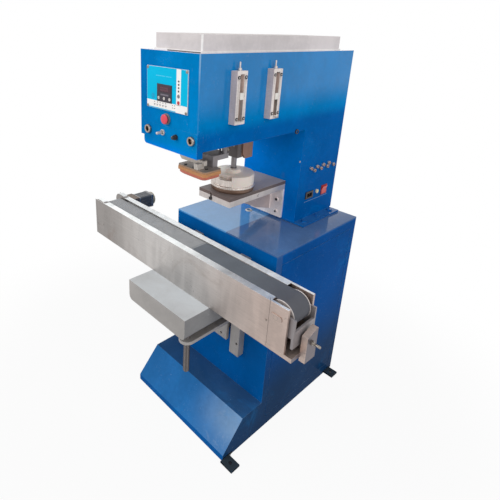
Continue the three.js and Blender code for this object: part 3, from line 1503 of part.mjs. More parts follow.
// Height bracket: plate on the cabinet's front with the arm that holds the spindle's nut thread
function heightArm() {
  const half = (armPlateRightX - armPlateLeftX) * halfShare;
  const middle = armPlateLeftX + half;
  const arm = block(armPlateLeftX, armPlateRightX, armTipY, -railDeep, armBottomZ, armTopZ);
  const tip = barZ(middle, armTipY, armBottomZ, armTopZ, half, midSides);
  const plate = block(-bracketPlateHalf, bracketPlateHalf, bracketPlateFrontY, -railDeep,
    bracketPlateBottomZ, armTopZ);
  const spacer = block(-bracketSpacerHalf, bracketSpacerHalf, -railDeep - cutOver, 0,
    bracketSpacerBottomZ, bracketSpacerTopZ);
  const thread = barZ(heightX, armTipY, armBottomZ - cutOver, armTopZ + cutOver,
    heightRadius + runningGap, midSides);
  const hole = barY(armHoleX, bracketHoleZ, bracketPlateFrontY - cutOver,
    -railDeep + cutOver, railHole, smallSides);
  return cut(joined(arm, tip, plate, spacer), thread, hole);
}

// Height spindle: hangs in the control box's floor and turns in the arm
function heightSpindle() {
  const collarZ = boxBottomZ - runningGap;
  const journalTop = boxBottomZ + boxWall + heightJournalLong;
  const nutLow = boxBottomZ + boxWall + runningGap;
  return turnedZ(heightX, armTipY, [[0, heightBottomZ], [heightRadius - screwHeadHigh, heightBottomZ],
    [heightRadius, heightBottomZ + screwHeadHigh], [heightRadius, collarZ - heightCollarHigh],
    [heightCollar, collarZ - heightCollarHigh], [heightCollar, collarZ], [heightJournal, collarZ],
    [heightJournal, nutLow], [heightNut, nutLow], [heightNut, nutLow + heightNutHigh],
    [heightJournal, nutLow + heightNutHigh], [heightJournal, journalTop], [0, journalTop]], midSides);
}

const machine = new THREE.Group();
machine.name = 'pad_printing_machine';
machine.add(piece('base_cabinet', pivotRoom(cabinetShell()), blue, paintRough, coated));
machine.add(piece('cabinet_door', cabinetDoor(), blue, paintRough, coated));
machine.add(piece('column_flange', columnFlange(), blue, paintRough, coated));
machine.add(piece('column_head', columnHead(), blue, paintRough, coated));
machine.add(piece('front_beam', frontBeam(), blue, paintRough, coated));
machine.add(piece('top_cover', topCover(), coverGrey, paintRough, coated));
machine.add(piece('control_plate', controlPlate(), bright, metalRough, bare));
machine.add(piece('control_overlay', controlOverlay(), '#12b6e0', plasticRough, coated));
machine.add(piece('control_display', controlDisplay(), dark, polishRough, coated));
keyXs.forEach((x, i) => machine.add(piece(`panel_key_${i + 1}`, panelKey(x), white, plasticRough, coated)));
machine.add(piece('stop_bezel', stopBezel(), '#4a4c50', plasticRough, coated));
machine.add(piece('stop_button', stopButton(), red, plasticRough, coated));
machine.add(piece('guide_rods', guideRods(), chrome, polishRough, bare));
machine.add(piece('toggle_lever', toggleLever(), chrome, polishRough, bare));
machine.add(piece('speed_knob', speedKnob(), dark, plasticRough, coated));
adjusterYs.forEach((y, i) => {
  machine.add(piece(`adjuster_body_${i + 1}`, adjusterBody(y), bright, metalRough, bare));
  machine.add(piece(`adjuster_screw_${i + 1}`, adjusterScrew(y), steel, metalRough, bare));
  machine.add(piece(`adjuster_nut_${i + 1}`, adjusterNut(y, nutZs[i]), bright, metalRough, bare));
});
machine.add(piece('plate_bracket', plateBracket(), bright, metalRough, bare));
machine.add(piece('bed_plate', bedPlate(), bright, metalRough, bare));
machine.add(piece('cliche_plate', clichePlate(), '#6e6560', metalRough, bare));
machine.add(piece('carriage_block', carriageBlock(), dark, metalRough, bare));
machine.add(piece('pad_cylinder', padCylinder(), bright, metalRough, bare));
machine.add(piece('pad_block', padBlock(), bright, metalRough, bare));
machine.add(piece('pad_clamp', padClamp(), bright, metalRough, bare));
machine.add(piece('pad_base', padBase(), '#c88a4c', plasticRough, coated));
machine.add(piece('silicone_pad', siliconePad(), '#c8605c', rubberRough, coated));
machine.add(piece('cup_wiper', cupWiper(), '#7d6a60', metalRough, bare));
machine.add(piece('cup_body', cupBody(), chrome, polishRough, bare));
machine.add(piece('cup_cap', cupCap(), white, plasticRough, coated));
machine.add(piece('cup_spindle', cupSpindlePiece(), steel, polishRough, bare));
machine.add(piece('cup_holder', cupHolder(), dark, metalRough, bare));
machine.add(piece('shuttle_cylinder', shuttleCylinder(), bright, metalRough, bare));
machine.add(piece('air_fittings', airFittings(), bright, metalRough, bare));
machine.add(piece('electrics', electrics(), dark, plasticRough, coated));
machine.add(piece('power_rocker', powerRocker(), red, plasticRough, coated));
machine.add(piece('valve_block', valveBlock(), dark, plasticRough, coated));
machine.add(piece('conveyor_side_front', conveyorSide(true), brushed, metalRough, bare));
machine.add(piece('conveyor_side_rear', conveyorSide(false), brushed, metalRough, bare));
machine.add(piece('conveyor_end_front', conveyorEnd(true), brushed, metalRough, bare));
machine.add(piece('conveyor_end_rear', conveyorEnd(false), brushed, metalRough, bare));
machine.add(piece('conveyor_base', conveyorBase(), brushed, metalRough, bare));
machine.add(piece('conveyor_belt', conveyorBelt(), '#6f7478', rubberRough, coated));
machine.add(piece('belt_bed', beltBed(), steel, metalRough, bare));
machine.add(piece('drive_roller', driveRoller(), steel, metalRough, bare));
machine.add(piece('idler_roller', idlerRoller(), chrome, metalRough, bare));
machine.add(piece('take_up_yoke', takeUpYoke(), brushed, metalRough, bare));
machine.add(piece('take_up_screw', takeUpScrew(), chrome, metalRough, bare));
machine.add(piece('gear_motor', gearMotor(), dark, plasticRough, coated));
machine.add(piece('control_box', controlBox(), '#a9a9a9', paintRough, coated));
machine.add(piece('lift_rail_left', liftRail(-1), brushed, metalRough, bare));
machine.add(piece('lift_rail_right', liftRail(1), brushed, metalRough, bare));
machine.add(piece('lift_slide', liftSlide(), brushed, metalRough, bare));
machine.add(piece('height_arm', heightArm(), brushed, metalRough, bare));
machine.add(piece('height_spindle', heightSpindle(), steel, metalRough, bare));

export default machine;
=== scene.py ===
import math

import bmesh
import bpy
from bpy.props import FloatProperty, FloatVectorProperty, IntProperty, PointerProperty
from bpy.types import Operator, Panel, PropertyGroup
from mathutils import Matrix, Vector


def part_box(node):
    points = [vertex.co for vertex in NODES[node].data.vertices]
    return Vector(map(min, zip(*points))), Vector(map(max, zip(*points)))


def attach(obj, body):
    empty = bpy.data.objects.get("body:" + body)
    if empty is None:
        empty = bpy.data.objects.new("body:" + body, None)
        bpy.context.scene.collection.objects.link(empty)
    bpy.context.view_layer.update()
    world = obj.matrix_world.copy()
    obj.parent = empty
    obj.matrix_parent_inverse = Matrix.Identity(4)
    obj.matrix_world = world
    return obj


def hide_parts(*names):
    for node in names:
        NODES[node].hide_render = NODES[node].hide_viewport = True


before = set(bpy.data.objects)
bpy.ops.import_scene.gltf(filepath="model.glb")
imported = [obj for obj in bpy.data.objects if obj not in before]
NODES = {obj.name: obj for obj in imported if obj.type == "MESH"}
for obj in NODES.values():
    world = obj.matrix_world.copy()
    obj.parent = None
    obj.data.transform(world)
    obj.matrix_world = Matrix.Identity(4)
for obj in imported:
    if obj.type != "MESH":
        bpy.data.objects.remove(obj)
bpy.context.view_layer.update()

bl_info = {
    "name": "Pad printing machine",
    "version": (1, 0, 0),
    "blender": (4, 5, 0),
    "location": "3D View > Sidebar > Pad printer",
    "description": "Finishes and fine parts of a pad printing machine with a lifting belt conveyor",
    "category": "Object",
}

MM = 0.001

CORNERS = ((-1, -1), (-1, 1), (1, -1), (1, 1))
CORNER_STEPS = 6  # steps round one rounded corner
CREASE = 35  # degrees from which an edge is rounded or stays sharp
FLAT = 0.6  # degrees up to which neighbouring faces are one
WELD_REACH = 0.00002  # metres

# Places on the machine, in millimetres
PANEL_FACE = -271.0
PANEL_LAMPS = (1309, 1300, 1291, 1282)
STOP_BUTTON = (0, 0, 1196)
TOGGLE = (-18, 0, 1153)
TAKE_UP_SCREW = (0, -120, 624)
ADJUSTERS = (-127, 33)

# Camera, fitted to the photograph: millimetres, degrees and shares of the frame's width
CAMERA_PLACE = (965.9, -1048.6, 1448.9)
CAMERA_TURN, CAMERA_RISE, CAMERA_ROLL = 47.851, 19.891, 1.705
CAMERA_SHIFT = (0.1224, -0.1346)


def ink(red, green, blue):
    """Linear colour of a screen colour given as 0 to 255."""
    shares = [channel / 255 for channel in (red, green, blue)]
    return tuple(s / 12.92 if s <= 0.04045 else ((s + 0.055) / 1.055) ** 2.4 for s in shares)


def ends(node):
    """Lowest and highest corner of a CAD node, in millimetres."""
    low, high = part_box(node)
    return low / MM, high / MM


def middle(node):
    """Centre of a CAD node, in millimetres."""
    return [(a + b) / 2 for a, b in zip(*ends(node))]


def chosen(group):
    """Settings of one group, as the sidebar shows them."""
    return getattr(bpy.context.scene, "printer_" + group)


def colour(label, text, value):
    """Colour property in linear light."""
    return FloatVectorProperty(name=label, description=text, subtype="COLOR", size=3, min=0, max=1, default=value)


def length(label, text, value):
    """Length property in metres, from millimetres."""
    return FloatProperty(name=label, description=text, subtype="DISTANCE", unit="LENGTH", default=value * MM)


def share(label, text, value):
    """Share property from nothing to all."""
    return FloatProperty(name=label, description=text, subtype="FACTOR", min=0, max=1, default=value)


class PaintSettings(PropertyGroup):
    blue: colour("Blue", "Gloss blue of the head", ink(0, 128, 198))
    # The middle and low blues are the same blue, darkened as painted shade lower down, where less light falls.
    blue_mid_shade: colour("Middle blue", "The same paint on the column and cabinet", ink(0, 90, 160))
    blue_low_shade: colour("Low blue", "The same paint near the floor", ink(6, 66, 116))
    bare: colour("Worn edge", "Pale primer that shows on worn edges", ink(150, 176, 200))
    dust: colour("Dust", "Pale dust that settles on level paint", ink(176, 204, 226))
    cover: colour("Cover", "Warm grey of the top cover", ink(206, 199, 198))
    box: colour("Box", "Grey of the control box", ink(160, 156, 153))
    gloss: share("Roughness", "Roughness of the gloss paint", 0.2)
    wear: share("Wear", "How far the edges are worn", 0.35)


class MetalSettings(PropertyGroup):
    sheet: colour("Brushed steel", "Stainless sheet of the conveyor", ink(186, 180, 176))
    milled: colour("Milled aluminium", "Blocks, brackets and adjusters", ink(204, 196, 193))
    plate: colour("Printing plate", "Ground and oiled steel plate", ink(120, 111, 110))
    polished: colour("Polished steel", "Ink cup and plated rods", ink(222, 219, 214))
    turned: colour("Turned steel", "Screws and spindles", ink(150, 142, 134))
    dark: colour("Dark metal", "Blackened and anodised parts", ink(52, 50, 52))
    roughness: share("Roughness", "Roughness of the brushed sheet", 0.42)


class PanelSettings(PropertyGroup):
    field: colour("Field", "Printed film of the panel", ink(8, 190, 232))
    band: colour("Band", "White bands of the film", ink(250, 247, 245))
    mark: colour("Marks", "Small printed marks", ink(96, 92, 96))
    lit: colour("Digits", "Lit digits of the counter", ink(112, 60, 72))
    stop: colour("Stop button", "Red of the stop button", ink(226, 74, 90))
    digit_height: length("Digit height", "Height of one counter digit", 12)
    digit_count: IntProperty(name="Digits", description="Digits on the counter", min=1, max=6, default=4)


class PadSettings(PropertyGroup):
    wood: colour("Wood", "Varnished base of the pad", ink(206, 146, 92))
    grain: colour("Grain", "Dark lines of the wood", ink(142, 84, 42))
    silicone: colour("Silicone", "Soft printing pad", ink(196, 112, 92))
    cap: colour("Cup cap", "White plastic cap of the ink cup", ink(230, 218, 209))
    ring: colour("Cup ring", "Hard ring that runs on the plate", ink(122, 98, 84))


class ConveyorSettings(PropertyGroup):
    belt: colour("Belt", "Grey cover of the belt", ink(104, 110, 117))
    # The paler stretch left of the splice is partly the belt's own paler cover and partly painted reflection.
    belt_pale_stretch: colour("Pale belt stretch", "Paler, dusty stretch of the belt", ink(168, 169, 170))
    belt_arc_steps: IntProperty(name="Belt steps", description="Steps round each roller", min=12, max=96, default=48)
    thread_pitch: length("Spindle pitch", "Thread pitch of the height spindle", 5)


class StageSettings(PropertyGroup):
    floor: colour("Floor", "Pale floor, as it lights the machine", (0.55, 0.55, 0.55))
    ambient: share("Ambient", "Light from all round", 0.62)
    key: FloatProperty(name="Key lamp", description="Power of the front lamp", unit="POWER", default=62)
    side: FloatProperty(name="Side lamp", description="Power of the right lamp", unit="POWER", default=34)
    lens: FloatProperty(name="Lens", description="Focal length for a 36 mm frame", unit="CAMERA", default=30.9)


# Node trees


class Tree:
    """Places and links nodes in one tree."""

    def __init__(self, tree):
        self.tree = tree

    def put(self, socket, value):
        """Links a socket, or sets its plain value."""
        if isinstance(value, bpy.types.NodeSocket):
            self.tree.links.new(value, socket)
        elif value is not None:
            socket.default_value = (*value, 1) if socket.type == "RGBA" and len(value) == 3 else value

    def node(self, kind, wires=None, **settings):
        """One node with its settings and inputs."""
        made = self.tree.nodes.new(("Node" if kind in ("GroupInput", "GroupOutput") else "ShaderNode") + kind)
        for key, value in settings.items():
            setattr(made, key, value)
        for key, value in (wires or {}).items():
            self.put(made.inputs[key], value)
        return made

    def sum(self, operation, first, second=0.0, clamp=False):
        """Result of one arithmetic node."""
        return self.node("Math", {0: first, 1: second}, operation=operation, use_clamp=clamp).outputs[0]

    def times(self, first, *others):
        """Product of all the values."""
        for other in others:
            first = self.sum("MULTIPLY", first, other)
        return first

    def vector(self, operation, first, second=None):
        """Vector result of one vector node."""
        return self.node("VectorMath", {0: first, 1: second}, operation=operation).outputs[0]

    def split(self, vector):
        """Three parts of a vector."""
        return self.node("SeparateXYZ", {0: vector}).outputs[:3]

    def normal(self):
        """Direction that the surface faces."""
        return self.node("NewGeometry").outputs["Normal"]

    def spread(self, value, low, high, out_low=0.0, out_high=1.0):
        """Value moved from one range to another with soft ends."""
        wires = {"Value": value, "From Min": low, "From Max": high, "To Min": out_low, "To Max": out_high}
        return self.node("MapRange", wires, interpolation_type="SMOOTHSTEP").outputs[0]

    def noise(self, place, scale, detail=3.0, rough=0.5, bend=0.0):
        """Cloudy value."""
        wires = {"Vector": place, "Scale": scale, "Detail": detail, "Roughness": rough, "Distortion": bend}
        return self.node("TexNoise", wires).outputs[0]

    def mix(self, factor, first, second, blend="MIX"):
        """Colour between two colours."""
        return self.node("Mix", {0: factor, 6: first, 7: second}, data_type="RGBA", blend_type=blend).outputs[2]


def effect(name, inputs, outputs):
    """Turns a function into one that gives its shader node group, built once. Outputs are masks and other values."""

    def named(build):
        def group():
            if name in bpy.data.node_groups:
                return bpy.data.node_groups[name]
            made = bpy.data.node_groups.new(name, "ShaderNodeTree")
            for label, value in {"Place": (0, 0, 0), **inputs}.items():
                kind = "NodeSocketFloat" if isinstance(value, float) else "NodeSocketVector"
                made.interface.new_socket(label, in_out="INPUT", socket_type=kind).default_value = value
            for label in outputs:
                made.interface.new_socket(label, in_out="OUTPUT", socket_type="NodeSocketFloat")
            tree = Tree(made)
            tree.node("GroupOutput", dict(zip(outputs, build(tree, tree.node("GroupInput").outputs))))
            return made

        return group

    return named


@effect("Edge wear", {"Width": 0.0015, "Amount": 0.5}, ["Mask"])
def edge_wear(tree, entry):
    """Mask of rubbed edges, broken up by noise."""
    soft = tree.node("Bevel", {"Radius": entry["Width"]}, samples=6).outputs[0]
    facing = tree.node("VectorMath", {0: soft, 1: tree.normal()}, operation="DOT_PRODUCT").outputs["Value"]
    broken = tree.spread(tree.noise(entry["Place"], 38.0, 5.0, 0.7), 0.42, 0.62)
    return [tree.times(tree.spread(facing, 0.995, 0.9), broken, entry["Amount"])]


@effect("Paint skin", {}, ["Height", "Tone"])
def paint_skin(tree, entry):
    """Orange peel and slow waves of sprayed sheet."""
    peel = tree.noise(entry["Place"], 420.0, 2.0, 0.5)
    wave = tree.noise(entry["Place"], 7.0, 2.0, 0.4)
    tone = tree.times(tree.noise(entry["Place"], 3.2, 4.0, 0.6, 0.4), 0.8)
    fleck = tree.times(tree.noise(entry["Place"], 60.0, 3.0, 0.6), 0.2)
    return tree.sum("ADD", tree.times(peel, 0.12), wave), tree.spread(tree.sum("ADD", tone, fleck), 0.3, 0.7)


@effect("Drawn grain", {"Line scale": (60, 60, 900), "Smear scale": (9, 9, 3)}, ["Height", "Line tone", "Smear"])
def grain(tree, entry):
    """Fine lines drawn out along one direction, with slow smears."""
    fine = tree.noise(tree.vector("MULTIPLY", entry["Place"], entry["Line scale"]), 1.0, 4.0, 0.7)
    slow = tree.noise(tree.vector("MULTIPLY", entry["Place"], entry["Smear scale"]), 1.0, 3.0, 0.55, 0.3)
    return fine, tree.spread(fine, 0.3, 0.7), tree.spread(slow, 0.32, 0.68)


@effect("Grime", {}, ["Spots", "Scratches", "Patches"])
def grime(tree, entry):
    """Small spots, long thin scratches and rubbed patches."""
    place = entry["Place"]
    spots = tree.spread(tree.noise(place, 150.0, 2.0, 0.4), 0.66, 0.74)
    here = tree.spread(tree.noise(place, 11.0, 3.0, 0.6), 0.45, 0.65)
    bend = tree.node("TexNoise", {"Vector": place, "Scale": 14.0}).outputs["Color"]
    wires = {"Vector": tree.vector("ADD", place, bend), "Scale": 9.0}
    edges = tree.node("TexVoronoi", wires, feature="DISTANCE_TO_EDGE").outputs["Distance"]
    line = tree.spread(edges, 0.006, 0.0)
    scratches = tree.times(line, tree.spread(tree.noise(place, 17.0, 2.0), 0.5, 0.62))
    return tree.times(spots, here), scratches, tree.spread(tree.noise(place, 5.0, 6.0, 0.72, 0.8), 0.52, 0.72)


@effect("Settled dust", {"From": 0.8}, ["Mask"])
def settled_dust(tree, entry):
    """Mask of dust on faces that look up."""
    level = tree.spread(tree.split(tree.normal())[2], entry["From"], 1.0)
    cloud = tree.noise(entry["Place"], 6.0, 5.0, 0.65, 0.5)
    return [tree.times(level, tree.spread(cloud, 0.15, 0.75, 0.45, 1.0))]


@effect("Area", {"Low": (-1, -1, -1), "High": (1, 1, 1), "Sharpness": 4000.0}, ["Mask"])
def area(tree, entry):
    """Mask of one box in the object's own space, with soft sides."""
    mask = 1.0
    for first, second in (("Place", "Low"), ("High", "Place")):
        inside = tree.vector("SUBTRACT", entry[first], entry[second])
        inside = tree.node("VectorMath", {0: inside, "Scale": entry["Sharpness"]}, operation="SCALE").outputs[0]
        for side in tree.split(inside):
            mask = tree.times(mask, tree.sum("ADD", side, 0.5, clamp=True))
    return [mask]


class Finish(Tree):
    """A material under construction: one Principled shader with colour, roughness and bump worked up in layers."""

    def __init__(self, name, base, rough, metal=0.0, specular=0.5):
        self.material = bpy.data.materials.new(name)
        self.material.use_nodes = True
        self.material.node_tree.nodes.clear()
        super().__init__(self.material.node_tree)
        self.place = self.node("TexCoord").outputs["Object"]
        self.base, self.rough, self.metal, self.specular = base, rough, metal, specular
        self.heights = []
        self.socket_values = {}

    def group(self, group, **wires):
        """Outputs of one placed effect."""
        wires = {key.replace("_", " "): value for key, value in wires.items()}
        return self.node("Group", {"Place": self.place, **wires}, node_tree=group()).outputs

    def tint(self, mask, shade, strength=1.0):
        """Colour laid over the base where the mask is."""
        if strength != 1.0:
            mask = self.times(mask, strength)
        self.base = self.mix(mask, self.base, shade)

    def tone(self, mask, dark, light):
        """Base made darker and lighter with a mask."""
        both = self.spread(mask, 0.0, 1.0, dark, light)
        grey = self.node("CombineColor", {0: both, 1: both, 2: both}).outputs[0]
        self.base = self.mix(1.0, self.base, grey, "MULTIPLY")

    def roughen(self, mask, amount):
        """Roughness changed where the mask is."""
        self.rough = self.sum("ADD", self.rough, self.times(mask, amount), clamp=True)

    def bump(self, height, distance, strength=1.0):
        """Relief added to the surface."""
        self.heights.append((height, distance, strength))

    def region(self, low, high, shade, sharpness=4000, strength=1.0):
        """Colour laid over one box, given in millimetres."""
        wires = {"Low": [v * MM for v in low], "High": [v * MM for v in high], "Sharpness": sharpness}
        self.tint(self.group(area, **wires)["Mask"], shade, strength)

    def done(self):
        """Finished material."""
        wires = {"Base Color": self.base, "Roughness": self.rough, "Metallic": self.metal,
                 "Specular IOR Level": self.specular, **self.socket_values}
        shader = self.node("BsdfPrincipled", wires)
        normal = None
        for height, distance, strength in self.heights:
            wires = {"Strength": strength, "Distance": distance, "Height": height, "Normal": normal}
            normal = self.node("Bump", wires).outputs[0]
        self.put(shader.inputs["Normal"], normal)
        self.node("OutputMaterial", {0: shader.outputs[0]})
        self.material.diffuse_color = (0.6, 0.6, 0.6, 1)


def shaded(base, factor, lift=0.0):
    """The same colour darker or lighter."""
    return [min(1, channel * factor + lift) for channel in base]


def painted(name, base, rough, wear=0.5, bare=None, dust=None, dust_amount=0.5, dust_from=0.8, before=None,
            specular=0.25):
    """Sprayed sheet metal with worn edges, spots, scuffs and dust."""
    made = Finish(name, base, rough, 0.0, specular)
    skin, dirt = made.group(paint_skin), made.group(grime)
    if before:
        before(made)
    made.tone(skin["Tone"], 0.88, 1.12)
    made.tint(dirt["Patches"], shaded(base, 1.5, 0.002), 0.14)
    made.roughen(dirt["Patches"], 0.12)
    if dust:
        mask = made.group(settled_dust, From=dust_from)["Mask"]
        made.tint(mask, dust, dust_amount)
        made.roughen(mask, 0.15)
    made.tint(dirt["Spots"], bare or base, 0.16)
    made.tint(dirt["Scratches"], bare or base, 0.3)
    if bare:
        worn = made.group(edge_wear, Width=0.0014, Amount=wear)["Mask"]
        made.tint(worn, bare)
        made.roughen(worn, 0.3)
    made.bump(skin["Height"], 0.0006, 0.35)
    made.bump(dirt["Scratches"], -0.0001, 0.4)
    made.done()


def metal(name, base, rough, lines=(70, 70, 900), smears=(9, 9, 3), stain=None, stain_amount=0.3, depth=0.25,
          tone=(0.93, 1.05), before=None, wear=0.3, metallic=1.0):
    """Machined or brushed metal with drawn grain, smears and handling marks."""
    made = Finish(name, base, rough, metallic)
    lines, smears = [v if isinstance(v, tuple) else (v, v, v) for v in (lines, smears)]
    marks, dirt = made.group(grain, Line_scale=lines, Smear_scale=smears), made.group(grime)
    if before:
        before(made)
    made.tone(marks["Line tone"], *tone)
    made.tone(marks["Smear"], 0.9, 1.04)
    made.tint(dirt["Patches"], stain or shaded(base, 0.6), stain_amount)
    made.roughen(marks["Smear"], 0.1)
    made.roughen(dirt["Patches"], 0.14)
    made.tint(dirt["Spots"], shaded(base, 0.35), 0.5)
    made.tint(dirt["Scratches"], shaded(base, 1.35, 0.03), 0.45)
    made.tint(made.group(edge_wear, Width=0.0008, Amount=wear)["Mask"], shaded(base, 1.5, 0.08))
    made.bump(marks["Height"], 0.0002, depth)
    made.bump(dirt["Scratches"], -0.0001, 0.3)
    made.done()


def moulded(name, base, rough=0.42, size=260.0, depth=0.3, specular=0.45, before=None, under=0.0):
    """Moulded plastic or rubber with a fine texture; under is the share of light that goes under its skin."""
    made = Finish(name, base, rough, 0.0, specular)
    dirt = made.group(grime)
    if before:
        before(made)
    made.tone(made.noise(made.place, size * 0.12, 3.0), 0.9, 1.1)
    made.tint(dirt["Patches"], shaded(base, 0.72), 0.35)
    made.tint(dirt["Spots"], shaded(base, 0.5), 0.4)
    made.roughen(dirt["Patches"], 0.15)
    made.bump(made.noise(made.place, size * 4, 2.0), 0.0001, depth)
    if under:
        made.socket_values = {"Subsurface Weight": under, "Subsurface Scale": 0.004}
    made.done()


# Mesh work, in millimetres


def spun(radius, angle, along, centre, axis):
    """Point on a circle round an axis."""
    u, v = radius * math.cos(angle), radius * math.sin(angle)
    x, y, z = centre
    return {"X": (x + along, y + u, z + v), "Y": (x + u, y + along, z + v), "Z": (x + u, y + v, z + along)}[axis]


def circle(reach, along, centre, axis="Z", steps=36, turn=0.0):
    """Loop of points round an axis; reach is a radius, or gives one for an angle."""
    angles = [turn + math.tau * k / steps for k in range(steps)]
    return [spun(reach(angle) if callable(reach) else reach, angle, along, centre, axis) for angle in angles]


def six(wall):
    """Reach of a hexagon's outline at an angle, from the distance of its walls."""
    return lambda angle: wall / math.cos((angle % (math.tau / 6)) - math.tau / 12)


def lifted(u, v, level, axis):
    """Point of an outline at one level of an axis."""
    return {"X": (level, u, v), "Y": (u, level, v), "Z": (u, v, level)}[axis]


def square(u0, u1, v0, v1):
    """Corners of a rectangle."""
    return [(u0, v0), (u1, v0), (u1, v1), (u0, v1)]


def rounded_outline(u0, u1, v0, v1, radius):
    """Corners of a rounded rectangle."""
    corners = []
    for cu, cv, start in ((u1 - radius, v0 + radius, -0.25), (u1 - radius, v1 - radius, 0.0),
                          (u0 + radius, v1 - radius, 0.25), (u0 + radius, v0 + radius, 0.5)):
        for k in range(CORNER_STEPS + 1):
            angle = math.tau * (start + 0.25 * k / CORNER_STEPS)
            corners.append((cu + radius * math.cos(angle), cv + radius * math.sin(angle)))
    return corners


class Shape:
    """Collects the faces of one piece."""

    def __init__(self):
        self.mesh = bmesh.new()

    def face(self, corners, slot=0):
        """One face through given vertices."""
        self.mesh.faces.new(corners).material_index = slot

    def rings(self, loops, slot=0, closed=False):
        """Skin through rings of equal count, with caps unless it closes on itself."""
        made = [[self.mesh.verts.new(point) for point in loop] for loop in loops]
        for first, second in list(zip(made, made[1:])) + ([(made[-1], made[0])] if closed else []):
            for i in range(len(first)):
                j = (i + 1) % len(first)
                self.face((first[i], first[j], second[j], second[i]), slot)
        if not closed:
            self.face(made[0][::-1], slot)
            self.face(made[-1], slot)
        return self

    def turned(self, profile, centre, axis="Z", steps=48, slot=0, at=None, closed=False):
        """Turned form from radius and height pairs; at(angle, i) may give another radius and height."""
        loops = []
        for i, pair in enumerate(profile):
            loop = []
            for k in range(steps):
                angle = math.tau * k / steps
                radius, along = at(angle, i) if at else pair
                loop.append(spun(max(radius, 0.02), angle, along, centre, axis))
            loops.append(loop)
        return self.rings(loops, slot, closed)

    def slab(self, outline, low, high, axis="Z", slot=0):
        """Outline pushed straight from low to high."""
        return self.rings([[lifted(u, v, level, axis) for u, v in outline] for level in (low, high)], slot)

    def block(self, low, high, slot=0):
        """Square block between two corners."""
        return self.slab(square(low[0], high[0], low[1], high[1]), low[2], high[2], "Z", slot)

    def socket_screw(self, centre, axis, radius, height, slot=0):
        """Round screw head with a hexagon socket; the head points along the axis sign."""
        sign = -1 if axis[0] == "-" else 1
        chamfer = height * 0.14
        socket = six(radius * 0.52)
        levels = [(radius, 0), (radius, height - chamfer), (radius - chamfer, height), (socket, height),
                  (socket, height * 0.4)]
        return self.rings([circle(reach, sign * along, centre, axis[-1]) for reach, along in levels], slot)

    def hexagon(self, centre, axis, reach, height, slot=0, turn=0.0):
        """Hexagon bolt head with a chamfer."""
        levels = ((1, 0), (1, height * 0.82), (0.9, height))
        return self.rings([circle(reach * scale, along, centre, axis, 6, turn) for scale, along in levels], slot)

    def nut(self, walls, bore, centre, axis):
        """Hexagon nut from wall and height pairs, with a round bore."""
        loops = [circle(six(wall), along, centre, axis) for wall, along in walls]
        return self.rings(loops + [circle(bore, walls[i][1], centre, axis) for i in (-1, 0)], closed=True)

    def thread(self, centre, axis, radius, low, high, pitch, steps, per_turn):
        """Round bar with a screw thread."""
        count = max(2, int(abs(high - low) / pitch * per_turn))
        depth = pitch * 0.4
        loops = []
        for i in range(count + 1):
            along = low + (high - low) * i / count
            teeth = [abs((along / pitch - k / steps) % 1 * 2 - 1) for k in range(steps)]
            loops.append([spun(radius - depth * (1 - tooth), math.tau * k / steps, along, centre, axis)
                          for k, tooth in enumerate(teeth)])
        return self.rings(loops)

    def done(self, name, body, finishes, bevel=0.0, angle=CREASE, node=None):
        """Object made from the shape, riding on its CAD body, and standing in for a CAD node if one is named."""
        bmesh.ops.recalc_face_normals(self.mesh, faces=self.mesh.faces)
        bmesh.ops.scale(self.mesh, vec=(MM, MM, MM), verts=self.mesh.verts)
        data = bpy.data.meshes.new(name)
        self.mesh.to_mesh(data)
        self.mesh.free()
        for finish in finishes:
            data.materials.append(finish)
        for polygon in data.polygons:
            polygon.use_smooth = True
        if not bevel:
            data.set_sharp_from_angle(angle=math.radians(angle))
        made = bpy.data.objects.new(name, data)
        bpy.context.scene.collection.objects.link(made)
        if bevel:
            rounded(made, bevel, angle)
        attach(made, body)
        replaces, slot = [node] if node else (), node
        if replaces:
            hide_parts(*replaces)


def rounded(made, width, angle=CREASE):
    """Small rounded edges by modifier."""
    edge = made.modifiers.new("Edges", "BEVEL")
    edge.width = width * MM
    edge.segments = 2
    edge.limit_method = "ANGLE"
    edge.angle_limit = math.radians(angle)
    edge.use_clamp_overlap = True
    edge.miter_outer = "MITER_ARC"
    shading = made.modifiers.new("Shading", "WEIGHTED_NORMAL")
    shading.weight = 100
    shading.keep_sharp = True


def dress(node, finish, bevel):
    """Finish and rounded edges for a CAD node; its vertices stay as they are."""
    made = NODES[node]
    data = made.data
    data.materials.clear()
    data.materials.append(finish)
    if "custom_normal" in data.attributes:
        data.attributes.remove(data.attributes["custom_normal"])
    for polygon in data.polygons:
        polygon.use_smooth = True
    for edge in data.edges:
        edge.use_edge_sharp = False
    weld = made.modifiers.new("Weld", "WELD")
    weld.merge_threshold = WELD_REACH
    merge = made.modifiers.new("Flat faces", "DECIMATE")
    merge.decimate_type = "DISSOLVE"
    merge.angle_limit = math.radians(FLAT)
    rounded(made, bevel)


# Finishes


def finished(name, build, *values, **named):
    """Material of a name, made on first use."""
    if name not in bpy.data.materials:
        build(name, *values, **named)
    return bpy.data.materials[name]


def printed(name, shade, rough=0.35, depth=0.05, **named):
    """Smooth film, print or small plastic face."""
    return finished(name, moulded, shade, rough, size=90.0, depth=depth, **named)


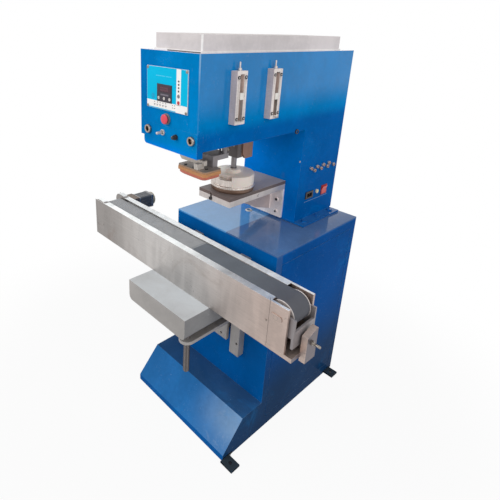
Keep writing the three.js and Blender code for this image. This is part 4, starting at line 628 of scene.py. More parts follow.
def blue_paint():
    """Gloss blue of the cabinet, column and head, with painted shade low down and on shaded faces, painted light,
    highlights and reflections, and polished where it still shines.
    """
    settings = chosen("paint")

    def wear_and_painted_light(made):
        x, _, z = made.split(made.place)
        nx, ny, nz = made.split(made.normal())
        # Painted shade: the blue darkens through the middle and low blues towards the floor, where less light falls.
        made.tint(made.spread(z, 1.12, 0.9), settings.blue_mid_shade)
        made.tint(made.spread(z, 0.75, 0.12), settings.blue_low_shade)
        front, side, top = made.spread(ny, -0.8, -0.95), made.spread(nx, 0.8, 0.95), made.spread(nz, 0.9, 0.98)
        tall = made.times(made.spread(z, 0.755, 0.765), made.spread(z, 1.13, 1.1))
        under = made.spread(z, 0.752, 0.74)
        left_of_head = made.times(made.spread(z, 1.1, 1.13), made.spread(x, 0.0, -0.1))
        # Painted light and shade: fronts and sides are tinted lighter or darker by height as light falls on them,
        # darkest on the sides near the floor, and the column front is lightened where the head shades it.
        for face, height, shade in ((side, made.spread(z, 1.2, 1.15), ink(0, 91, 168)), (front, tall, ink(0, 124, 222)),
                                    (front, under, ink(4, 92, 166)), (side, under, ink(0, 76, 149)),
                                    (side, made.spread(z, 0.48, 0.12), ink(26, 57, 91)),
                                    (front, left_of_head, ink(0, 112, 182))):
            made.tint(made.times(face, height), shade, 0.9)
        # Painted light: the foot's up-facing slope is tinted a lighter blue than the faces round it.
        foot = made.times(made.spread(nz, 0.3, 0.6), made.spread(z, 0.16, 0.13), made.spread(nz, 0.97, 0.9))
        made.tint(foot, ink(44, 112, 176), 0.85)
        # Painted reflection: a pale sheen towards the right of the foot slope.
        slope_reflection = made.times(foot, made.spread(z, 0.03, 0.1, 0.3, 1.0), made.spread(x, 0.0, 0.25))
        made.tint(slope_reflection, ink(158, 182, 202), 0.45)
        # Painted highlight down the head's rounded front-right edge, strongest near the top.
        corner = made.spread(made.times(nx, made.times(ny, -1.0)), 0.38, 0.5)
        made.tint(made.times(corner, made.spread(z, 1.26, 1.38, 0.06, 0.7)), ink(160, 202, 232))
        # Painted reflections: pale streaks on the head's side beside each adjuster, and on the cabinet top a pale sheen
        # on the left and a greyer one on the right. The other boxes lay a grey patch on the column front, a pale
        # scratch line on the column side and a greyer band on the cabinet's right side.
        for low, high, shade, sharpness, strength in (
                ((132, -162, 1204), (134, -142, 1326), ink(96, 156, 208), 90, 0.3),
                ((132, -2, 1204), (134, 18, 1326), ink(96, 156, 208), 90, 0.3),
                ((54, 250, 922), (68, 252, 944), ink(96, 92, 112), 90, 0.5),
                ((-260, -10, 750), (18, 520, 757), ink(116, 180, 232), 160, 0.85),
                ((18, -10, 750), (260, 520, 757), ink(104, 122, 150), 160, 0.6),
                ((132.6, 304, 829.7), (133.6, 463, 831.3), ink(150, 176, 206), 4000, 0.8),
                ((248, 0, 600), (250, 30, 753), ink(70, 98, 140), 400, 0.8)):
            made.region(low, high, shade, sharpness, strength)
        rubbed = made.spread(made.noise(made.place, 16.0, 6.0, 0.75, 0.6), 0.5, 0.74)
        made.tint(made.times(rubbed, made.times(foot, made.spread(x, 0.08, 0.22))), ink(206, 214, 222), 0.22)
        for low, high in (((249, -240, -1), (320, -150, 12)), ((249, 440, -1), (320, 500, 12)),
                          ((-320, 440, -1), (-249, 500, 12))):
            made.region(low, high, ink(22, 27, 33))
        level = made.times(top, made.spread(z, 0.7, 0.74), made.spread(x, 0.25, 0.1, 0.4, 1.0))
        made.tint(made.times(top, made.spread(z, 1.36, 1.38)), ink(214, 214, 220), 0.8)
        cloud = made.spread(made.noise(made.place, 3.0, 3.0, 0.5), 0.25, 0.75, 0.75, 1.0)
        high_side = made.times(made.spread(nx, 0.5, 0.9), made.spread(z, 1.19, 1.29), 0.5, cloud)
        shine = made.sum("MAXIMUM", level, high_side)
        made.socket_values = {"Coat Weight": shine, "Coat Roughness": 0.09, "Coat IOR": 1.8}

    return finished("Blue paint", painted, settings.blue, settings.gloss, wear=settings.wear, bare=settings.bare,
                    dust=settings.dust, dust_amount=0.06, dust_from=0.9, before=wear_and_painted_light, specular=0.006)


def milled_finish(name="Milled aluminium", **changes):
    """Milled aluminium with fine tool marks."""
    values = {"lines": (500, 500, 60), "smears": (16, 16, 9), "stain": ink(150, 132, 120), "stain_amount": 0.25,
              "metallic": 0.4, "base": chosen("metal").milled, **changes}
    return finished(name, metal, values.pop("base"), 0.4, **values)


def turned_finish():
    """Turned steel of screws and spindles."""
    return finished("Turned steel", metal, chosen("metal").turned, 0.34, lines=900, smears=40,
                    stain=ink(92, 70, 52), stain_amount=0.4)


def polished_finish():
    """Ground and plated steel."""
    return finished("Polished steel", metal, chosen("metal").polished, 0.14, lines=(60, 60, 1400),
                    smears=(20, 20, 12), stain=ink(150, 120, 96), stain_amount=0.16, depth=0.06)


def dark_finish():
    """Blackened metal."""
    return finished("Blackened metal", metal, chosen("metal").dark, 0.42, lines=400, smears=22,
                    stain=ink(88, 70, 56), stain_amount=0.3, metallic=0.6, wear=0.8)


def brushed_finish(name="Brushed steel", **changes):
    """Brushed stainless sheet, with upright smears, a warmer right end, and painted reflections, light and shade."""

    def painted_light_and_shade(made):
        x, y, z = made.split(made.place)
        across, _, up = made.split(made.normal())
        # Painted reflections: lighter and darker bands along the length; the right end is also warmer.
        made.tint(made.spread(x, -0.62, -0.15), ink(197, 194, 192), 0.75)
        made.tint(made.spread(x, 0.0, 0.42), ink(188, 168, 158), 0.85)
        made.tint(made.spread(x, -0.22, -0.52), ink(150, 145, 142), 0.9)
        # Painted light: upward faces of the top edges are near white.
        level = made.times(made.spread(up, 0.8, 0.95), made.spread(z, 0.7, 0.73))
        made.tint(level, ink(252, 255, 255), 0.95)
        behind = made.times(level, made.spread(y, -0.12, -0.08))
        made.metal = made.sum("SUBTRACT", 1.0, made.times(behind, 0.6))
        # Painted shade: faces that look to the right, at the right end, are darker.
        made.tint(made.times(made.spread(across, 0.8, 0.95), made.spread(x, 0.43, 0.45)), ink(116, 112, 120), 0.9)

    values = {"lines": (14, 14, 700), "smears": (22, 22, 3.5), "stain": ink(140, 122, 112), "stain_amount": 0.28,
              "depth": 0.15, "before": painted_light_and_shade, **changes}
    return finished(name, metal, chosen("metal").sheet, chosen("metal").roughness, **values)


def black_plastic():
    """Black moulded plastic."""
    return finished("Black plastic", moulded, ink(34, 33, 37), 0.4)


# Pieces


class Build:
    """Shared part of the operators, which each have a build method."""

    bl_options = {"REGISTER", "UNDO"}

    def execute(self, context):
        self.build()
        return {"FINISHED"}


class PADPRINTER_OT_cabinet(Build, Operator):
    """Paint the cabinet, its door and the column's foot plate, and fit their bolts and cable ring"""

    bl_idname = "padprinter.cabinet"
    bl_label = "Cabinet"

    def build(self):
        blue = blue_paint()
        dress("base_cabinet", blue, 1.6)
        dress("cabinet_door", blue, 1.2)
        dress("column_flange", blue, 1.0)
        top = ends("column_flange")[1].z
        bolts = Shape()
        for x in (-155, 155):
            for i, y in enumerate((285, 375, 463)):
                bolts.turned([(12.5, 763), (12.5, 764.6), (0, 764.6)], (x, y, 0), steps=32)
                bolts.hexagon((x, y, 764.4), "Z", 10.6, top - 764.2, turn=0.35 * i + x * 0.01)
        bolts.done("flange_bolts", "base", [blue], 0.5)
        plugs = Shape()
        for x, y in ((275, -188), (270, 474), (-270, 474)):
            plugs.turned([(7.2, 0.6), (7.2, 5), (6.2, 6), (0, 6)], (x, y, 0), steps=28)
        plugs.done("foot_plugs", "base", [black_plastic()])
        ring = Shape()
        ring.turned([(7.2, 754), (7.2, 757.6), (8.6, 759), (11, 759), (13.2, 757.2), (14, 755.02)],
                    (-62, 216, 0), steps=40, closed=True)
        ring.turned([(6.9, 751), (6.9, 754.2), (0, 754.2)], (-62, 216, 0), steps=32, slot=1)
        nickel = milled_finish("Ring nickel", metallic=0.3, base=ink(206, 204, 200))
        ring.done("cable_ring", "base", [nickel, black_plastic()])


class PADPRINTER_OT_head(Build, Operator):
    """Paint the column, the head, its front beam and its top cover"""

    bl_idname = "padprinter.head"
    bl_label = "Column and head"

    def build(self):
        paint = chosen("paint")
        blue = blue_paint()
        dress("column_head", blue, 1.6)
        dress("front_beam", blue, 1.2)

        def cover_painted_light(made):
            nx, ny, _ = made.split(made.normal())
            across = made.times(nx, made.times(ny, -1.0))
            # Painted light: the cover's right side is lightened, and its front-right corner carries a painted
            # highlight.
            made.tint(made.spread(nx, 0.8, 0.95), ink(218, 211, 211), 0.9)
            made.tint(made.spread(across, 0.15, 0.4), ink(250, 248, 246), 0.9)

        cover = finished("Cover paint", painted, paint.cover, 0.42, wear=0.5, bare=ink(232, 228, 224),
                         dust=ink(226, 222, 218), dust_amount=0.35, before=cover_painted_light, specular=0.3)
        dress("top_cover", cover, 1.6)
        low, high = ends("top_cover")
        base = max(low.z, 1386)
        lip = Shape()
        lip.slab(rounded_outline(low.x - 2.6, high.x + 2.6, low.y - 2.6, high.y + 2.6, 2), base - 0.1, base + 4.4)
        lip.block((low.x + 60, low.y - 3.3, base - 0.2), (high.x - 1, low.y - 2, base + 1.6), 1)
        pale = finished("Cover edge", painted, ink(232, 227, 224), 0.42, wear=0.0, specular=0.3)
        lip.done("cover_lip", "base", [pale, black_plastic()], 0.3)
        bolt = Shape()
        bolt.socket_screw((133, 198, 1122), "X", 8.6, 4.4)
        bolt.socket_screw((133, 241, 1005), "X", 3.8, 1.6, slot=1)
        bolt.done("head_side_bolts", "base",
                  [black_plastic(), milled_finish("Side screw", base=ink(170, 174, 184))], 0.3)


class PADPRINTER_OT_panel(Build, Operator):
    """Finish the control panel: film, printed bands and marks, counter window, digits and keys"""

    bl_idname = "padprinter.panel"
    bl_label = "Control panel"

    def build(self):
        panel = chosen("panel")
        frame_metal = milled_finish("Panel frame", wear=0.2, metallic=0.1, base=ink(214, 216, 220))
        dress("control_plate", frame_metal, 0.4)
        film = printed("Panel film", panel.field, 0.3, specular=0.04)
        dress("control_overlay", film, 0.15)
        window = finished("Counter body", moulded, ink(40, 34, 48), 0.3, size=120.0, depth=0.1)
        dress("control_display", window, 0.4)
        self.print_film(panel)
        self.counter(panel)
        self.keys(panel)
        self.screws()

    def print_film(self, panel):
        """Bands, dots and lines printed on the film."""
        face, proud = PANEL_FACE, 0.14
        bands = Shape()

        def patch(x0, x1, z0, z1, slot, lift=0.0):
            bands.slab(square(x0, x1, z0, z1), face - proud - lift, face + 0.3, "Y", slot)

        low, high = ends("control_plate")
        left, right, bottom, upper = low.x + 0.9, high.x - 0.9, low.z + 0.9, high.z - 0.9
        for x0, x1, z0 in ((left, -86, 1243), (86, right, 1243), (left, right, 1336.4)):
            patch(x0, x1, z0, upper, 1, -0.06)
        patch(left, right, bottom, 1244, 0)
        patch(44, 63, 1243, upper, 0)
        patch(left, 42, bottom, bottom + 2.4, 1, 0.06)
        for i in range(5):
            x = -56 + i * 13
            patch(x, x + 3.4, 1238.4, 1241.2, 2, 0.06)
            patch(x - 2.4, x + 6, 1232.4, 1234, 2, 0.06)
            patch(x - 1.2, x + 4, 1229.8, 1231, 2, 0.06)
        for x in (27, 36):
            patch(x, x + 3, 1238.4, 1241.2, 2, 0.06)
            patch(x - 1.4, x + 4.4, 1231.6, 1233.2, 2, 0.06)
        for z in PANEL_LAMPS:
            patch(36, 41.5, z - 0.7, z + 0.7, 3, 0.02)
        for i in range(8):
            x = -48 + i * 8.6 + (3 if i > 4 else 0)
            patch(x, x + 6.2, 1315.6, 1317.6, 4, 0.02)
        for reach in (8.2, 4.2):
            levels = ((reach, face + 0.2), (reach, face - proud),
                      (reach - 1.1, face - proud), (reach - 1.1, face + 0.2))
            bands.rings([circle(radius, y, (-62, 0, 1256), "Y", 40) for radius, y in levels], 3, closed=True)
        patch(-62.6, -61.4, 1250, 1262, 3, 0.02)
        white = printed("Printed white", panel.band, 0.35, specular=0.25)
        cyan = finished("Panel film", moulded, panel.field)
        grey = printed("Printed marks", panel.mark, 0.4)
        deep = printed("Printed blue", ink(20, 124, 172), 0.35)
        pale = printed("Printed pale", ink(92, 212, 240), 0.35)
        bands.done("panel_print", "base", [white, cyan, grey, deep, pale])
        lamps = Shape()
        for z in PANEL_LAMPS:
            lamps.turned([(2.7, -270.9), (2.7, -271.9), (2.2, -272.5), (0, -272.8)], (54, 0, z), "Y", 28, 0)
        for z, slot in ((1268, 1), (1250, 2)):
            lamps.turned([(5.4, -270.9), (5.4, -271.7), (4.6, -272.4), (0, -272.6)], (54, 0, z), "Y", 36, slot)
        dim = printed("Unlit lamp", ink(74, 66, 70), 0.25)
        dull = printed("Grey pad", ink(120, 116, 124), 0.35)
        red = printed("Red pad", ink(188, 42, 56), 0.35)
        lamps.done("panel_lamps", "base", [dim, dull, red])

    def counter(self, panel):
        """Window with its digits, and a label strip over the keys."""
        face = ends("control_display")[0].y
        window = Shape()
        window.slab(rounded_outline(-38, 21, 1271, 1290.5, 1.2), face - 0.35, face + 0.5, "Y", 0)
        window.slab(rounded_outline(-25, 11, 1262.4, 1266.6, 0.8), face - 0.12, face + 0.5, "Y", 1)
        tall = panel.digit_height / MM
        wide = tall * 0.5
        thick = tall * 0.13
        step = wide * 1.5
        start = -8.5 - step * panel.digit_count / 2 + (step - wide) / 2
        base = 1280.8 - tall / 2
        for i in range(panel.digit_count):
            x = start + i * step
            half = tall / 2
            bars = [(x + thick, x + wide - thick, base, base + thick),
                    (x + thick, x + wide - thick, base + tall - thick, base + tall)]
            for side in (x, x + wide - thick):
                bars.append((side, side + thick, base + thick, base + half - thick * 0.3))
                bars.append((side, side + thick, base + half + thick * 0.3, base + tall - thick))
            for x0, x1, z0, z1 in bars:
                window.slab(square(x0, x1, z0, z1), face - 0.42, face, "Y", 2)
        glass = printed("Counter window", ink(68, 44, 56), 0.12, 0.03, specular=0.3)
        label = printed("Counter label", ink(112, 104, 116), 0.4)
        digits = printed("Counter digits", panel.lit, 0.4, 0.03)
        window.done("counter_window", "base", [glass, label, digits])

    def keys(self, panel):
        """Dished round keys."""
        cream = finished("Key plastic", moulded, ink(214, 208, 204), 0.36)
        dark = finished("Printed marks", moulded, panel.mark)
        for i, x in enumerate((-34, -9, 16), 1):
            key = Shape()
            key.turned([(0, -273.2), (2.2, -273.25), (3.1, -273.55), (3.8, -273.5), (4.4, -272.9), (4.45, -270.9),
                        (0, -270.9)], (x, 0, 1254), "Y", 40)
            key.slab(square(x - 1.1, x + 1.1, 1253.4, 1254.6), -273.4, -273.1, "Y", 1)
            key.done(f"key_cap_{i}", f"key_{i}", [cream, dark], node=f"panel_key_{i}")

    def screws(self):
        """Corner screws of the frame."""
        screws = Shape()
        for x in (-87, 87):
            for z in (1226, 1337):
                screws.turned([(4.5, -270.8), (4.5, -271.9), (3.4, -272.9), (2.0, -273.1), (1.8, -272.3), (0, -272.3)],
                              (x, 0, z), "Y", 32)
        screws.done("panel_screws", "base", [turned_finish()])


class PADPRINTER_OT_controls(Build, Operator):
    """Turn the stop button, its bezel, the toggle with its nut, and the ribbed speed knob"""

    bl_idname = "padprinter.controls"
    bl_label = "Button, toggle and knob"

    def build(self):
        panel = chosen("panel")
        bezel = Shape()
        bezel.turned([(6.4, -268), (16.4, -268), (16.4, -271.4), (15, -272.8), (13.4, -273), (6.4, -273)],
                     STOP_BUTTON, "Y", 56, closed=True)
        grey = finished("Bezel grey", moulded, ink(120, 118, 122), 0.34)
        bezel.done("stop_collar", "base", [grey], 0.25, node="stop_bezel")
        button = Shape()
        button.turned([(0, -281.3), (7, -281.2), (11.6, -280.8), (13.6, -279.9), (14.5, -278.6), (14.6, -277.6),
                       (14.2, -276.3), (6, -276.3), (6, -260.4), (0, -260.4)], STOP_BUTTON, "Y", 56)
        red = finished("Stop red", moulded, panel.stop, 0.34, size=60.0, depth=0.15, specular=0.3)
        button.done("stop_cap", "stop_button", [red], 0.2, node="stop_button")
        toggle = Shape()
        toggle.turned([(0, -293), (2.8, -292.8), (3.8, -291.8), (4.2, -290), (4.1, -283), (3.3, -273), (3.2, -266),
                       (5.0, -263.5), (5.9, -260), (5.0, -256.4), (2.4, -254.4), (0, -254)], TOGGLE, "Y", 40)
        pale = milled_finish("Toggle metal", metallic=0.3, base=ink(214, 204, 198))
        toggle.done("toggle_stem", "toggle", [pale], angle=60, node="toggle_lever")
        walls = [(8.3, -268), (8.3, -271), (8.3 * 0.93, -271.6)]
        Shape().nut(walls, 6.1, TOGGLE, "Y").done("toggle_nut", "base", [pale])
        knob = Shape()

        def ribbed(angle, i):
            radius, along = profile[i]
            return (radius * (1 + 0.045 * math.cos(18 * angle)) if i in (2, 3) else radius, along)

        profile = [(0, -284), (4.6, -283.9), (5.3, -283), (5.4, -277), (5.6, -276.2), (7.4, -276), (7.8, -275.2),
                   (8, -268.3), (3, -268.3), (3, -260.2), (0, -260.2)]
        knob.turned(profile, (43, 0, 1150), "Y", 72, at=ribbed)
        knob.slab(square(42.6, 43.4, 1151, 1155.4), -284.0, -283, "Y", 1)
        knob.done("knob_grip", "speed_knob", [black_plastic(), finished("Key plastic", moulded, ink(214, 208, 204))],
                  node="speed_knob")


class PADPRINTER_OT_adjusters(Build, Operator):
    """Finish the two stroke adjusters with socket screws, threaded rods and nuts"""

    bl_idname = "padprinter.adjusters"
    bl_label = "Stroke adjusters"

    def build(self):
        milled = milled_finish()

        def shaded(made):
            # Painted light: faces that look to the front are lightened where the head shades them.
            made.tint(made.spread(made.split(made.normal())[1], -0.5, -0.9), ink(240, 212, 200), 0.9)

        pale = milled_finish("Adjuster aluminium", metallic=0.1, base=ink(232, 223, 219), lines=(60, 60, 500),
                             before=shaded)
        backs = Shape()
        for y in ADJUSTERS:
            backs.block((136, y - 7.9, 1202), (141.6, y + 7.9, 1328))
        backs.done("adjuster_backs", "base", [milled_finish("Slot back", metallic=0.1, base=ink(214, 206, 202))])
        for i, y in enumerate(ADJUSTERS, 1):
            dress(f"adjuster_body_{i}", pale, 0.7)
            dress(f"adjuster_nut_{i}", polished_finish(), 0.8)
            screws = Shape()
            for side in (-14.5, 14.5):
                for z in (1207, 1323):
                    screws.socket_screw((157, y + side, z), "X", 4.7, 2.9)
            screws.done(f"adjuster_screws_{i}", "base", [black_plastic()], 0.2)
            rod = Shape()
            rod.thread((145, y, 0), "Z", 2.6, 1194.8, 1339, 2.0, 14, 5)
            rod.turned([(2.9, 1338.6), (2.9, 1340.3), (5.5, 1340.3), (5.5, 1346.6), (4.8, 1347.3), (2.6, 1347.3),
                        (2.4, 1362.8), (1.6, 1364), (0, 1364)], (145, y, 0), steps=32, slot=1)
            cut = finished("Adjuster thread", metal, ink(92, 88, 88), 0.36, lines=400, smears=40)
            rod.done(f"adjuster_rod_{i}", f"screw_{i}", [cut, milled], angle=50,
                     node=f"adjuster_screw_{i}")


class PADPRINTER_OT_carriage(Build, Operator):
    """Finish the guide rods, the carriage and the cylinders inside the head"""

    bl_idname = "padprinter.carriage"
    bl_label = "Carriage and cylinders"

    def build(self):
        rods = Shape()
        for x in (-88, 110):
            centre = (x, 0, 1152)
            rods.turned([(10, -268), (10, 300), (0, 300)], centre, "Y", 40, 0)
            rods.turned([(13.6, -268), (13.6, -273.4), (12.2, -275.4), (8.4, -275.4), (7.4, -273.4), (7.4, -262),
                         (0, -262)], centre, "Y", 48, 1)
            rods.turned([(7.38, -264), (7.38, -266.5), (3.4, -266.5), (3.2, -270), (0, -270.4)], centre, "Y", 28, 2)
        low, high = ends("guide_rods")
        rods.block((low.x, 282, low.z), (high.x, 300, high.z), 3)
        warm = finished("Warm steel", metal, ink(168, 156, 146), 0.34, lines=300, smears=40,
                        stain=ink(120, 82, 56), stain_amount=0.45)
        brown = finished("Brown socket", metal, ink(112, 88, 76), 0.5, lines=300, smears=60,
                         metallic=0.4)
        rods.done("guide_rod_set", "base", [polished_finish(), warm, brown, milled_finish()], 0.25,
                  node="guide_rods")
        dress("carriage_block", dark_finish(), 0.8)
        dress("pad_cylinder", milled_finish(), 0.6)
        dress("shuttle_cylinder", milled_finish(), 0.6)
        dress("valve_block", black_plastic(), 0.6)


class PADPRINTER_OT_pad(Build, Operator):
    """Finish the pad block, clamp and wooden base, and form the soft printing pad"""

    bl_idname = "padprinter.pad"
    bl_label = "Printing pad"

    def build(self):
        pad = chosen("pad")

        def dark_top(made):
            made.region((-39, -106, 1061.2), (37, -32, 1080), ink(136, 132, 135))
            made.region((-60, -164, 1029.4), (-20, -100, 1031), ink(120, 112, 104), strength=0.6)

        block = milled_finish("Pad block metal", before=dark_top, base=ink(148, 144, 147))
        dress("pad_block", block, 0.8)

        def grips(made):
            # Painted light: the clamp's upper part is lightened where the beam shades it.
            made.region((-90, -170, 1024.6), (90, -60, 1050), ink(206, 197, 188), strength=0.9)
            level = made.split(made.normal())[2]
            low = made.split(made.place)[2]
            edge = made.times(made.spread(made.sum("ABSOLUTE", level), 0.8, 0.5),
                              made.spread(low, 1.0248, 1.0242))
            made.tint(edge, ink(170, 128, 94), 0.9)

        clamp = milled_finish("Clamp metal", before=grips, base=ink(160, 150, 142), metallic=0.2)
        dress("pad_clamp", clamp, 0.7)
        screws = Shape()
        for x, y in ((-43, -152), (-2, -152), (38, -134)):
            screws.socket_screw((x, y, 1024), "Z", 4.7, 2.9)
        screws.done("clamp_screws", "pad", [dark_finish()], 0.2)

        def layers(made):
            drawn = made.vector("MULTIPLY", made.place, (30, 30, 700))
            lines = made.noise(drawn, 1.0, 5.0, 0.65, 1.2)
            made.tint(made.spread(lines, 0.42, 0.68), pad.grain, 0.75)
            made.bump(lines, 0.0003, 0.3)

        wood = finished("Varnished wood", moulded, pad.wood, 0.32, size=80.0, depth=0.15, before=layers)
        dress("pad_base", wood, 1.6)
        self.soft_pad(pad)

    def soft_pad(self, pad):
        """Domed silicone pad glued under the wooden base."""
        low, high = ends("silicone_pad")
        middle_x, middle_y, _ = middle("silicone_pad")
        half_x, half_y = (high.x - low.x) / 2, (high.y - low.y) / 2
        rim = high.z - 7
        shape = Shape()
        levels = [(0.985, high.z), (1, high.z - 1.2), (1, rim)]
        for k in range(1, 13):
            turn = math.pi / 2 * k / 12
            levels.append((max(0.01, math.cos(turn)), rim - (rim - low.z) * math.sin(turn)))
        outline = []
        for k in range(64):
            c, s = math.cos(math.tau * k / 64), math.sin(math.tau * k / 64)
            reach = (abs(c) ** 7 + abs(s) ** 7) ** (-1 / 7)
            outline.append((reach * c, reach * s))
        shape.rings([[(middle_x + half_x * scale * u, middle_y + half_y * scale * v, z) for u, v in outline]
                     for scale, z in reversed(levels)])
        soft = finished("Silicone", moulded, pad.silicone, 0.55, size=40.0, depth=0.1, specular=0.35, under=0.12)
        shape.done("printing_pad", "pad", [soft], angle=70, node="silicone_pad")


class PADPRINTER_OT_cup(Build, Operator):
    """Turn the ink cup: contact ring, polished cup, stepped white cap, spindle and holder"""

    bl_idname = "padprinter.cup"
    bl_label = "Ink cup"

    def build(self):
        pad = chosen("pad")
        x, y, _ = middle("cup_body")
        centre = (x, y, 0)
        ring = Shape()
        ring.turned([(62, 914), (73.4, 914), (75.4, 917), (76, 921), (76, 930), (62, 930)],
                    centre, steps=96, closed=True)
        hard = finished("Cup ring", metal, pad.ring, 0.38, lines=(60, 60, 900), smears=(30, 30, 20),
                        stain=ink(86, 62, 50), stain_amount=0.4, metallic=0.7)
        ring.done("cup_contact_ring", "carriage", [hard], 0.3, node="cup_wiper")
        cup = Shape()
        cup.turned([(62, 930), (77.2, 930), (78, 930.8), (78, 932.8), (76.6, 933.8), (76.6, 935), (77.6, 936),
                    (77.2, 937.6), (72.8, 938), (72, 939), (72, 960.4), (70.4, 962), (0.1, 962), (0.1, 958),
                    (62, 958)], centre, steps=112, closed=True)
        shell = finished("Cup steel", metal, ink(222, 212, 205), 0.18, lines=(260, 260, 20), smears=(60, 60, 6),
                         stain=ink(140, 122, 112), stain_amount=0.35, depth=0.1, tone=(0.8, 1.08), metallic=0.6)
        cup.done("cup_shell", "carriage", [shell], 0.3, node="cup_body")
        self.cap(pad, centre)
        steel = finished("Spindle grey", metal, ink(128, 124, 126), 0.3, lines=(60, 60, 300), smears=(40, 40, 10))
        spindle = Shape()
        spindle.turned([(12, 988), (12, 989.4), (9.6, 989.4), (9.5, 1032), (0, 1032)], centre, steps=48, slot=2)
        spindle.hexagon((x, y, 989.2), "Z", 11.4, 1.6, 1)
        spindle.done("cup_pressure_spindle", "carriage", [turned_finish(), dark_finish(), steel], 0.3,
                     node="cup_spindle")

        def copper(made):
            made.region((28.5, 40, 1000), (36, 100, 1140), ink(150, 114, 98), strength=0.85)
            made.region((-18, 43, 1043), (28.8, 62, 1064), ink(186, 142, 92), strength=0.8)

        holder = finished("Holder metal", metal, ink(92, 86, 86), 0.34, lines=(400, 400, 60), smears=(30, 30, 14),
                          stain=ink(130, 104, 88), stain_amount=0.6, metallic=0.6, before=copper, wear=0.9)
        dress("cup_holder", holder, 0.8)
        screws = Shape()
        screws.socket_screw((x - 12, 19, 1055), "-Y", 5.4, 2.2)
        screws.socket_screw((x + 14, 19, 1073), "-Y", 4.2, 2.2)
        screws.done("holder_screws", "carriage", [turned_finish()], 0.2)

    def cap(self, pad, centre):
        """White cap with a step cut out of its front left."""
        full = [(72.3, 938.2), (75, 938.2), (75, 971.6), (74.2, 974), (72, 975), (28.6, 975), (28, 975.6), (28, 986.6),
                (26.6, 988), (0.1, 988), (0.1, 962.2), (72.3, 962.2)]
        cut = [(52, 962.3), (52.2, 962.3), (52.2, 971.6), (51.4, 974), (49.2, 975), (28.6, 975), (28, 975.6),
               (28, 986.6), (26.6, 988), (0.1, 988), (0.1, 962.2), (51.8, 962.2)]

        def stepped(angle, i):
            inside = 3.25 < angle < 5.38
            return cut[i] if inside else full[i]

        cap = Shape()
        cap.turned(full, centre, steps=144, at=stepped, closed=True)

        def lit_side(made):
            made.region((centre[0] - 90, centre[1] - 90, 930), (centre[0] - 20, centre[1] + 90, 990),
                        ink(255, 250, 240), sharpness=30, strength=0.9)

        white = finished("Cap plastic", moulded, pad.cap, 0.34, size=30.0, depth=0.1, specular=0.4, before=lit_side,
                         under=0.1)
        cap.done("cup_cover", "carriage", [white], angle=40, node="cup_cap")


class PADPRINTER_OT_bed(Build, Operator):
    """Finish the bed, the printing plate and the bracket that carries them"""

    bl_idname = "padprinter.bed"
    bl_label = "Printing plate and bed"

    def build(self):
        milled = milled_finish()

        def web(made):
            # Painted shade: the web and all in front of the flange are darker than the flange's front face.
            made.region((-100, -60, 700), (100, 235.9, 890), ink(196, 180, 176))

        cast = milled_finish("Bracket aluminium", metallic=0.12, base=ink(252, 240, 236), before=web)
        dress("plate_bracket", cast, 0.8)
        dress("bed_plate", milled, 0.8)

        def sides(made):
            up = made.split(made.normal())[2]
            y = made.split(made.place)[1]
            # Painted light: the plate is lightened towards the column, where the head shades it. Its side faces are
            # tinted darker brown.
            made.tint(made.spread(y, 0.0, 0.17), ink(196, 182, 172), 0.9)
            made.tint(made.spread(up, 0.8, 0.5), ink(92, 76, 72), 0.9)

        plate = finished("Plate steel", metal, chosen("metal").plate, 0.4, lines=(500, 30, 500), smears=(20, 9, 20),
                         stain=ink(120, 96, 84), stain_amount=0.35, depth=0.12, metallic=0.1, before=sides)
        dress("cliche_plate", plate, 0.6)
        holes = Shape()
        for x in (-51, 51):
            for z in (784, 834):
                reach = 5.4 if z > 800 else 4.4
                holes.turned([(reach, 236.6), (reach, 235.7), (0, 235.7)], (x, 0, z), "Y", 24)
        holes.socket_screw((75, 94, 891.5), "X", 4.0, 2.0)
        holes.socket_screw((-15, -55, 890), "-Y", 6.4, 4.2)
        holes.done("bracket_sockets", "base", [black_plastic()])


class PADPRINTER_OT_services(Build, Operator):
    """Make the push-in air fittings, and finish the inlet, fuse and switch"""

    bl_idname = "padprinter.services"
    bl_label = "Air and mains fittings"

    def build(self):
        brass = finished("Nickelled brass", metal, ink(196, 188, 184), 0.3, lines=300, smears=60,
                         stain=ink(150, 116, 96), stain_amount=0.4)
        fittings = Shape()
        low, high = ends("air_fittings")
        fittings.block((low.x, low.y, low.z), (130, high.y, high.z), 1)
        rows = [(y, 966) for y in (317, 358, 400, 440)] + [(y, 954) for y in (341, 385, 430, 474)]
        for y, z in rows:
            centre = (0, y, z)
            fittings.turned([(6.9, 126), (6.9, 133), (6.9, 139.4), (6.3, 140.4), (4.4, 140.4), (4.4, 134), (4.2, 127)],
                            centre, "X", 32, 0, closed=True)
            fittings.turned([(4.35, 134.2), (4.35, 140.2), (5.4, 140.6), (5.4, 142), (3.4, 142), (3, 134.2)],
                            centre, "X", 28, 2, closed=True)
            fittings.turned([(3.3, 132), (3.3, 134.4), (0, 134.4)], centre, "X", 20, 3)
        ring = finished("Release ring", moulded, ink(178, 148, 134), 0.4)
        fittings.done("push_in_fittings", "base", [brass, milled_finish(), ring, black_plastic()],
                      node="air_fittings")

        def shades(made):
            made.region((132.8, 370.5, 850), (140, 387.5, 872), ink(214, 204, 186))
            made.region((133.5, 411, 830), (140, 451, 880), ink(150, 34, 38))

        mains = finished("Mains plastic", moulded, ink(46, 40, 42), 0.42, before=shades)
        dress("electrics", mains, 0.5)
        parts = Shape()
        parts.turned([(5.6, 138.6), (5.6, 139.6), (4.8, 140.2), (2.2, 140.2), (2.0, 139.6), (0, 139.6)],
                     (0, 379, 861), "X", 28, 0)
        for y, z in ((321, 857), (329, 862), (337, 857)):
            parts.block((118, y - 1.2, z - 3), (131, y + 1.2, z + 3), 1)
        parts.done("mains_parts", "base", [finished("Fuse cap", moulded, ink(226, 214, 160), 0.36), turned_finish()])
        rocker = finished("Rocker red", moulded, ink(206, 48, 50), 0.22, size=60.0, depth=0.05, specular=0.5)
        dress("power_rocker", rocker, 0.5)


